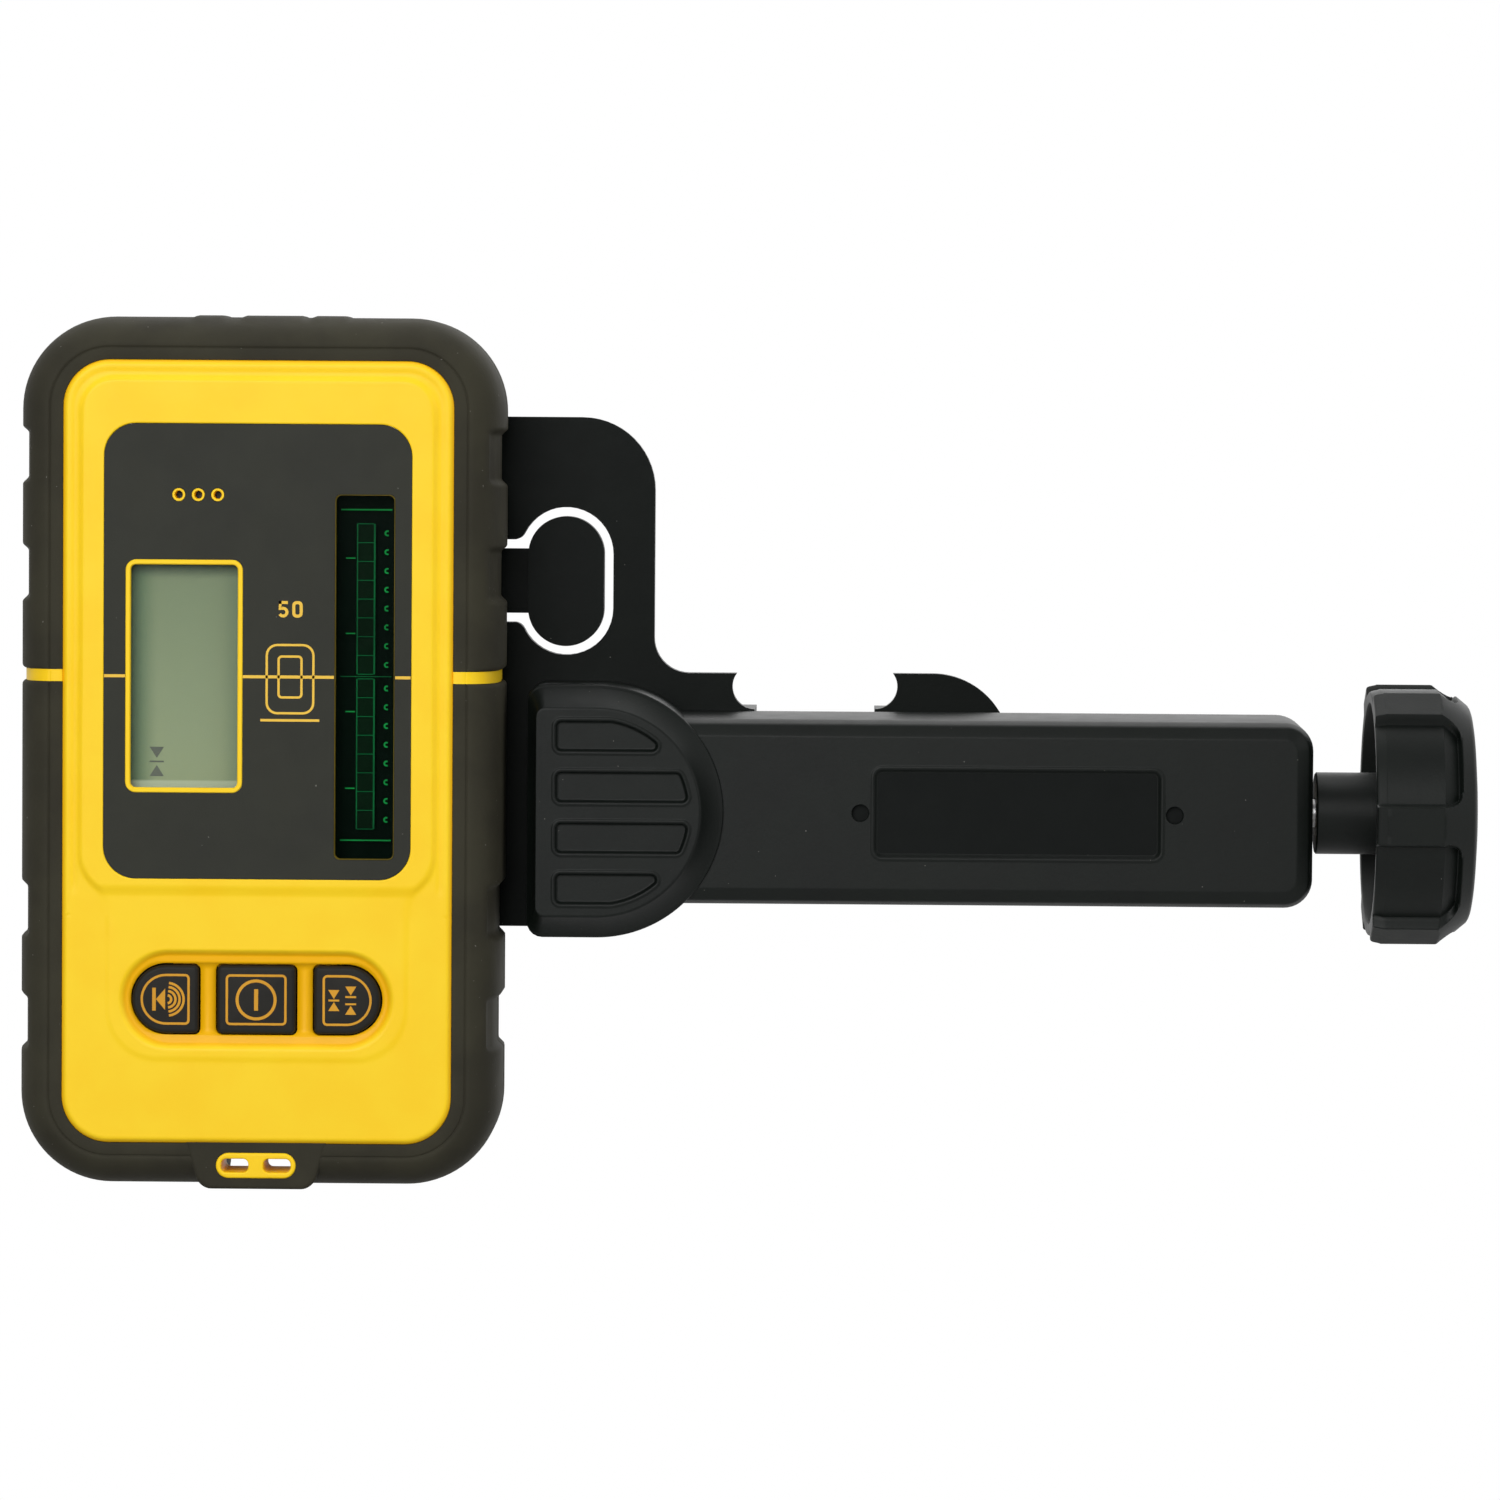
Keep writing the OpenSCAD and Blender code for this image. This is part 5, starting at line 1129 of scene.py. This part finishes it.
crown_u = end_u + (knob_len - end_u) * (1 - (crown_r / 15.0) ** 2)
inner_r = np.array([2.1, 2.2, hub_r - 0.25, hub_r, hub_r, hub_r + 0.6, cup_r - 1.0, cup_r - 0.3, cup_r,
                    cup_r + 0.1, cup_r + 0.35])
inner_u = np.array([-6.8, -7.6, -7.6, -7.4, 7.8, 8.4, 8.2, 7.5, 0.5, 0.1, 0.0])


def turned_piece(name, node, finish, along, middle_y, radius, angle, sharp):
    """A piece round an axis along x: at each step of the length, a radius for every angle."""
    grid = columns(along[:, None], middle_y + radius * np.cos(angle), radius * np.sin(angle))
    piece(name, Shell().closed(grid), "screw_and_knob", finish, [node], sharp)


def all_round(radii, angle):
    return np.outer(radii, np.ones(len(angle)))


knob_skin = np.concatenate([all_round(inner_r, angle), skin_r, all_round(crown_r, angle)])
knob_x = rim_x + np.concatenate([inner_u, outer_u, crown_u])
turned_piece("knob_grip", "knob", black, knob_x, knob_y, knob_skin, math.pi - angle, 28)

# %% [markdown]
# ## Clamp screw
# The screw carries a left-hand thread, so that turning the knob clockwise draws the jaw in. A thread is a
# triangle carried along a helix; on a grid of length by angle that is only a radius which depends on the
# length plus the share of a turn, so the same grid gives the plain ends too.

# %% Screw
screw_low, screw_high = corners("clamp_screw")
ring_low, ring_high = corners("retaining_ring")
screw_y = (screw_low[1] + screw_high[1]) / 2
screw_r = (screw_high[2] - screw_low[2]) / 2
journal_r, thread_deep, thread_lead = 2.0, 0.6, 2.0
thread_x0, thread_x1 = channel_x0 + 0.5, ring_low[0] - 0.1
spin = np.linspace(0, 2 * math.pi, 48, endpoint=False)
along = np.linspace(thread_x0, thread_x1, int((thread_x1 - thread_x0) / thread_lead * 14))
phase = (along[:, None] / thread_lead + spin[None, :] / (2 * math.pi)) % 1
flank = np.clip(np.abs(phase - 0.5) * 2.6 - 0.25, 0, 1)
run_out = smooth_step(0, 1.2, along - thread_x0) * smooth_step(0, 1.2, thread_x1 - along)
thread_r = screw_r - thread_deep * flank * run_out[:, None]
neck_r, ring_groove_r, ring_x = screw_r - 0.3, journal_r - 0.35, ring_low[0] - 0.02
plain_x = [screw_low[0], screw_low[0] + 0.3, thread_x0, thread_x0]
plain_r = [journal_r - 0.3, journal_r, journal_r, neck_r]
tail_x = [thread_x1, thread_x1, ring_x, ring_x, ring_high[0], ring_high[0], screw_high[0]]
tail_r = [neck_r, journal_r, journal_r, ring_groove_r, ring_groove_r, journal_r, journal_r]
screw_skin = np.concatenate([all_round(plain_r, spin), thread_r, all_round(tail_r, spin)])
turned_piece("screw_thread", "clamp_screw", steel, np.concatenate([plain_x, along, tail_x]),
             screw_y, screw_skin, spin, 35)

# %% [markdown]
# ## Leaf spring
# A steel leaf behind the plate holds the release lever. A rigid strip would go through the lever when it
# is pressed, so the strip is cut into short lengths and rides on no body; the points at the lever's pin
# and at its tip, where a bend would start and end, are worked out.

# %% Spring
leaf_low, leaf_high = corners("lever_spring")
pin_low, pin_high = corners("lever_pin")
leaf_t, tip_l, leaf_steps = 0.4, 2.0, 61
tip_x = leaf_high[0] - tip_l
leaf_x = np.concatenate([np.linspace(leaf_low[0], tip_x, leaf_steps), [tip_x, leaf_high[0]]])
leaf_front = np.where(np.arange(len(leaf_x)) < leaf_steps, leaf_high[1] - leaf_t, leaf_low[1])
leaf_back = leaf_high[1]
leaf_edges = ((leaf_front, leaf_low), (leaf_front, leaf_high), (leaf_back, leaf_high),
              (leaf_back, leaf_low))
leaf_rows = np.stack([columns(leaf_x, y, corner[2]) for y, corner in leaf_edges], axis=1)
leaf = piece("leaf_spring", Shell().closed(leaf_rows), None, steel, ["lever_spring"])
pin_x = (pin_low[0] + pin_high[0]) / 2
bend_from, bend_to = [(x * MM, leaf_high[1] * MM, leaf_low[2] * MM) for x in (pin_x, tip_x)]
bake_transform(leaf)

# %% [markdown]
# ## Solids that stay
# Plates, jaws, the rear case and what is inside keep their CAD shape. Their sharp edges are broken with a
# narrow bevel, because a real edge always catches some light, and each gets its finish.

# %% Edges and finishes of the solids
def keep(node, finish, width):
    """Give a solid its finish, and break its edges by `width` millimetres."""
    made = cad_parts[node]
    made.data.materials.clear()
    made.data.materials.append(finish)
    if width:
        weld = made.modifiers.new("weld", "WELD")
        weld.merge_threshold = 1e-6
        edge = made.modifiers.new("edge", "BEVEL")
        edge.width = width * MM
        edge.segments = 3
        edge.limit_method = "ANGLE"
        edge.angle_limit = math.radians(32)
        edge.harden_normals = True


solids = (
    (plate_black_and_shade, {"bracket_plate": 0.45, "sliding_jaw": 0.4, "release_lever": 0.8}),
    (yellow, {"rear_case": 0.3}),
    (rubber, {"battery_door": 0.3, "case_gasket": 0}),
    (clear_lens, {"lcd_window": 0}),
    (lcd_glass, {"lcd_module": 0}),
    (green_filter, {"sensor_window": 0}),
    (deep_green, {"sensor_board": 0}),
    (board_green, {"main_board": 0}),
    (chip_black, {"lcd_connectors": 0, "board_chips": 0, "buzzer": 0, "key_switches": 0,
                  "battery_snap": 0}),
    (sleeve, {"battery": 0.3}),
    (steel, {"case_screws": 0.1, "board_screws": 0, "door_pin": 0, "bracket_screws": 0.1, "lever_pin": 0,
             "spring_rivet": 0.1, "retaining_ring": 0.05}),
    (brass, {"jaw_nut": 0.2, "screw_bush": 0.1}))
for finish, widths in solids:
    for node, width in widths.items():
        keep(node, finish, width)
print(sum(len(widths) for _, widths in solids), "solids kept")

# %% [markdown]
# ## Floor and light
# The background is white, so the world is white to the camera and only softly bright to the object. The
# floor is a pale disc well below, which keeps a soft shadow and fades to white at its rim. Four soft
# boxes light the object, the strongest from the front.

# %% Floor
floor_z, floor_r, floor_steps = -0.30, 1.3, 96
rim = at_depth(circle(0, 0, floor_r, floor_steps), floor_z)[:, [0, 2, 1]]
floor_mesh = bpy.data.meshes.new("floor")
floor_mesh.from_pydata(rim.tolist(), [], [list(range(floor_steps))])
floor = bpy.data.objects.new("floor", floor_mesh)
bpy.context.collection.objects.link(floor)
pale = material("pale_floor")
from_middle = pale.add("ShaderNodeVectorMath", {"operation": "LENGTH"}, {0: pale.place}, 1)
far = pale.ramp(from_middle, 0.55, floor_r * 0.95)
glow = pale.add("ShaderNodeEmission", {}, {"Color": (1, 1, 1, 1)})
pale.finish(Base_Color=pale.blend(pale.noise(40.0), (0.93, 0.93, 0.93, 1), (0.95, 0.95, 0.95, 1)),
            Roughness=0.9, Specular_IOR_Level=0.0)
dim = pale.add("ShaderNodeBsdfDiffuse", {}, {"Color": (0.12, 0.12, 0.12, 1)})
bounced = pale.add("ShaderNodeLightPath", {}, {}, "Is Diffuse Ray")
plain = pale.add("ShaderNodeMixShader", {}, {0: bounced, 1: Wire(pale, pale.shader.outputs[0]), 2: dim})
mixed = pale.add("ShaderNodeMixShader", {}, {0: far * (1 - bounced), 1: plain, 2: glow})
pale.tree.links.new(mixed.socket, pale.tree.nodes["Material Output"].inputs["Surface"])
floor_mesh.materials.append(pale.owner)
print("floor", 2 * floor_r, "m across")

# %% World
world = bpy.data.worlds.new("studio")
scene.world = world
soft_level = 0.25
studio = Finish(world, "Background", "Generated")
behind = studio.ramp(studio.axes()[1], -0.5, 0.2)
paths = [studio.add("ShaderNodeLightPath", {}, {}, ray)
         for ray in ("Is Camera Ray", "Is Glossy Ray", "Is Transmission Ray")]
mirrored = paths[1].calc("MAXIMUM", paths[2]) * behind
seen = paths[0].calc("MAXIMUM", mirrored)
studio.finish(Color=(1, 1, 1, 1), Strength=soft_level + (1 - soft_level) * seen)


# %% Lamps
def lamp(name, place, aim, size, power):
    """A square soft box at `place` that looks at `aim`."""
    light = bpy.data.lights.new(name, "AREA")
    light.size = size
    light.energy = power
    made = bpy.data.objects.new(name, light)
    bpy.context.collection.objects.link(made)
    made.location = place
    way = np.array(aim) - np.array(place)
    pitch = math.acos(-way[2] / np.linalg.norm(way))
    made.rotation_euler = (pitch, 0.0, math.atan2(-way[0], way[1]))


lamp("key", (-0.3, -1.25, 0.42), (0, 0, 0.02), 0.8, 12.9)
lamp("fill", (0.9, -0.6, 0.35), (0, 0, 0.02), 0.8, 3.0)
lamp("top", (-0.1, 0.1, 1.0), (0, 0, 0), 0.9, 4.2)
lamp("back", (0.25, 1.1, 0.55), (0, 0, 0), 0.9, 2.4)
print(len(bpy.data.lights), "lamps")
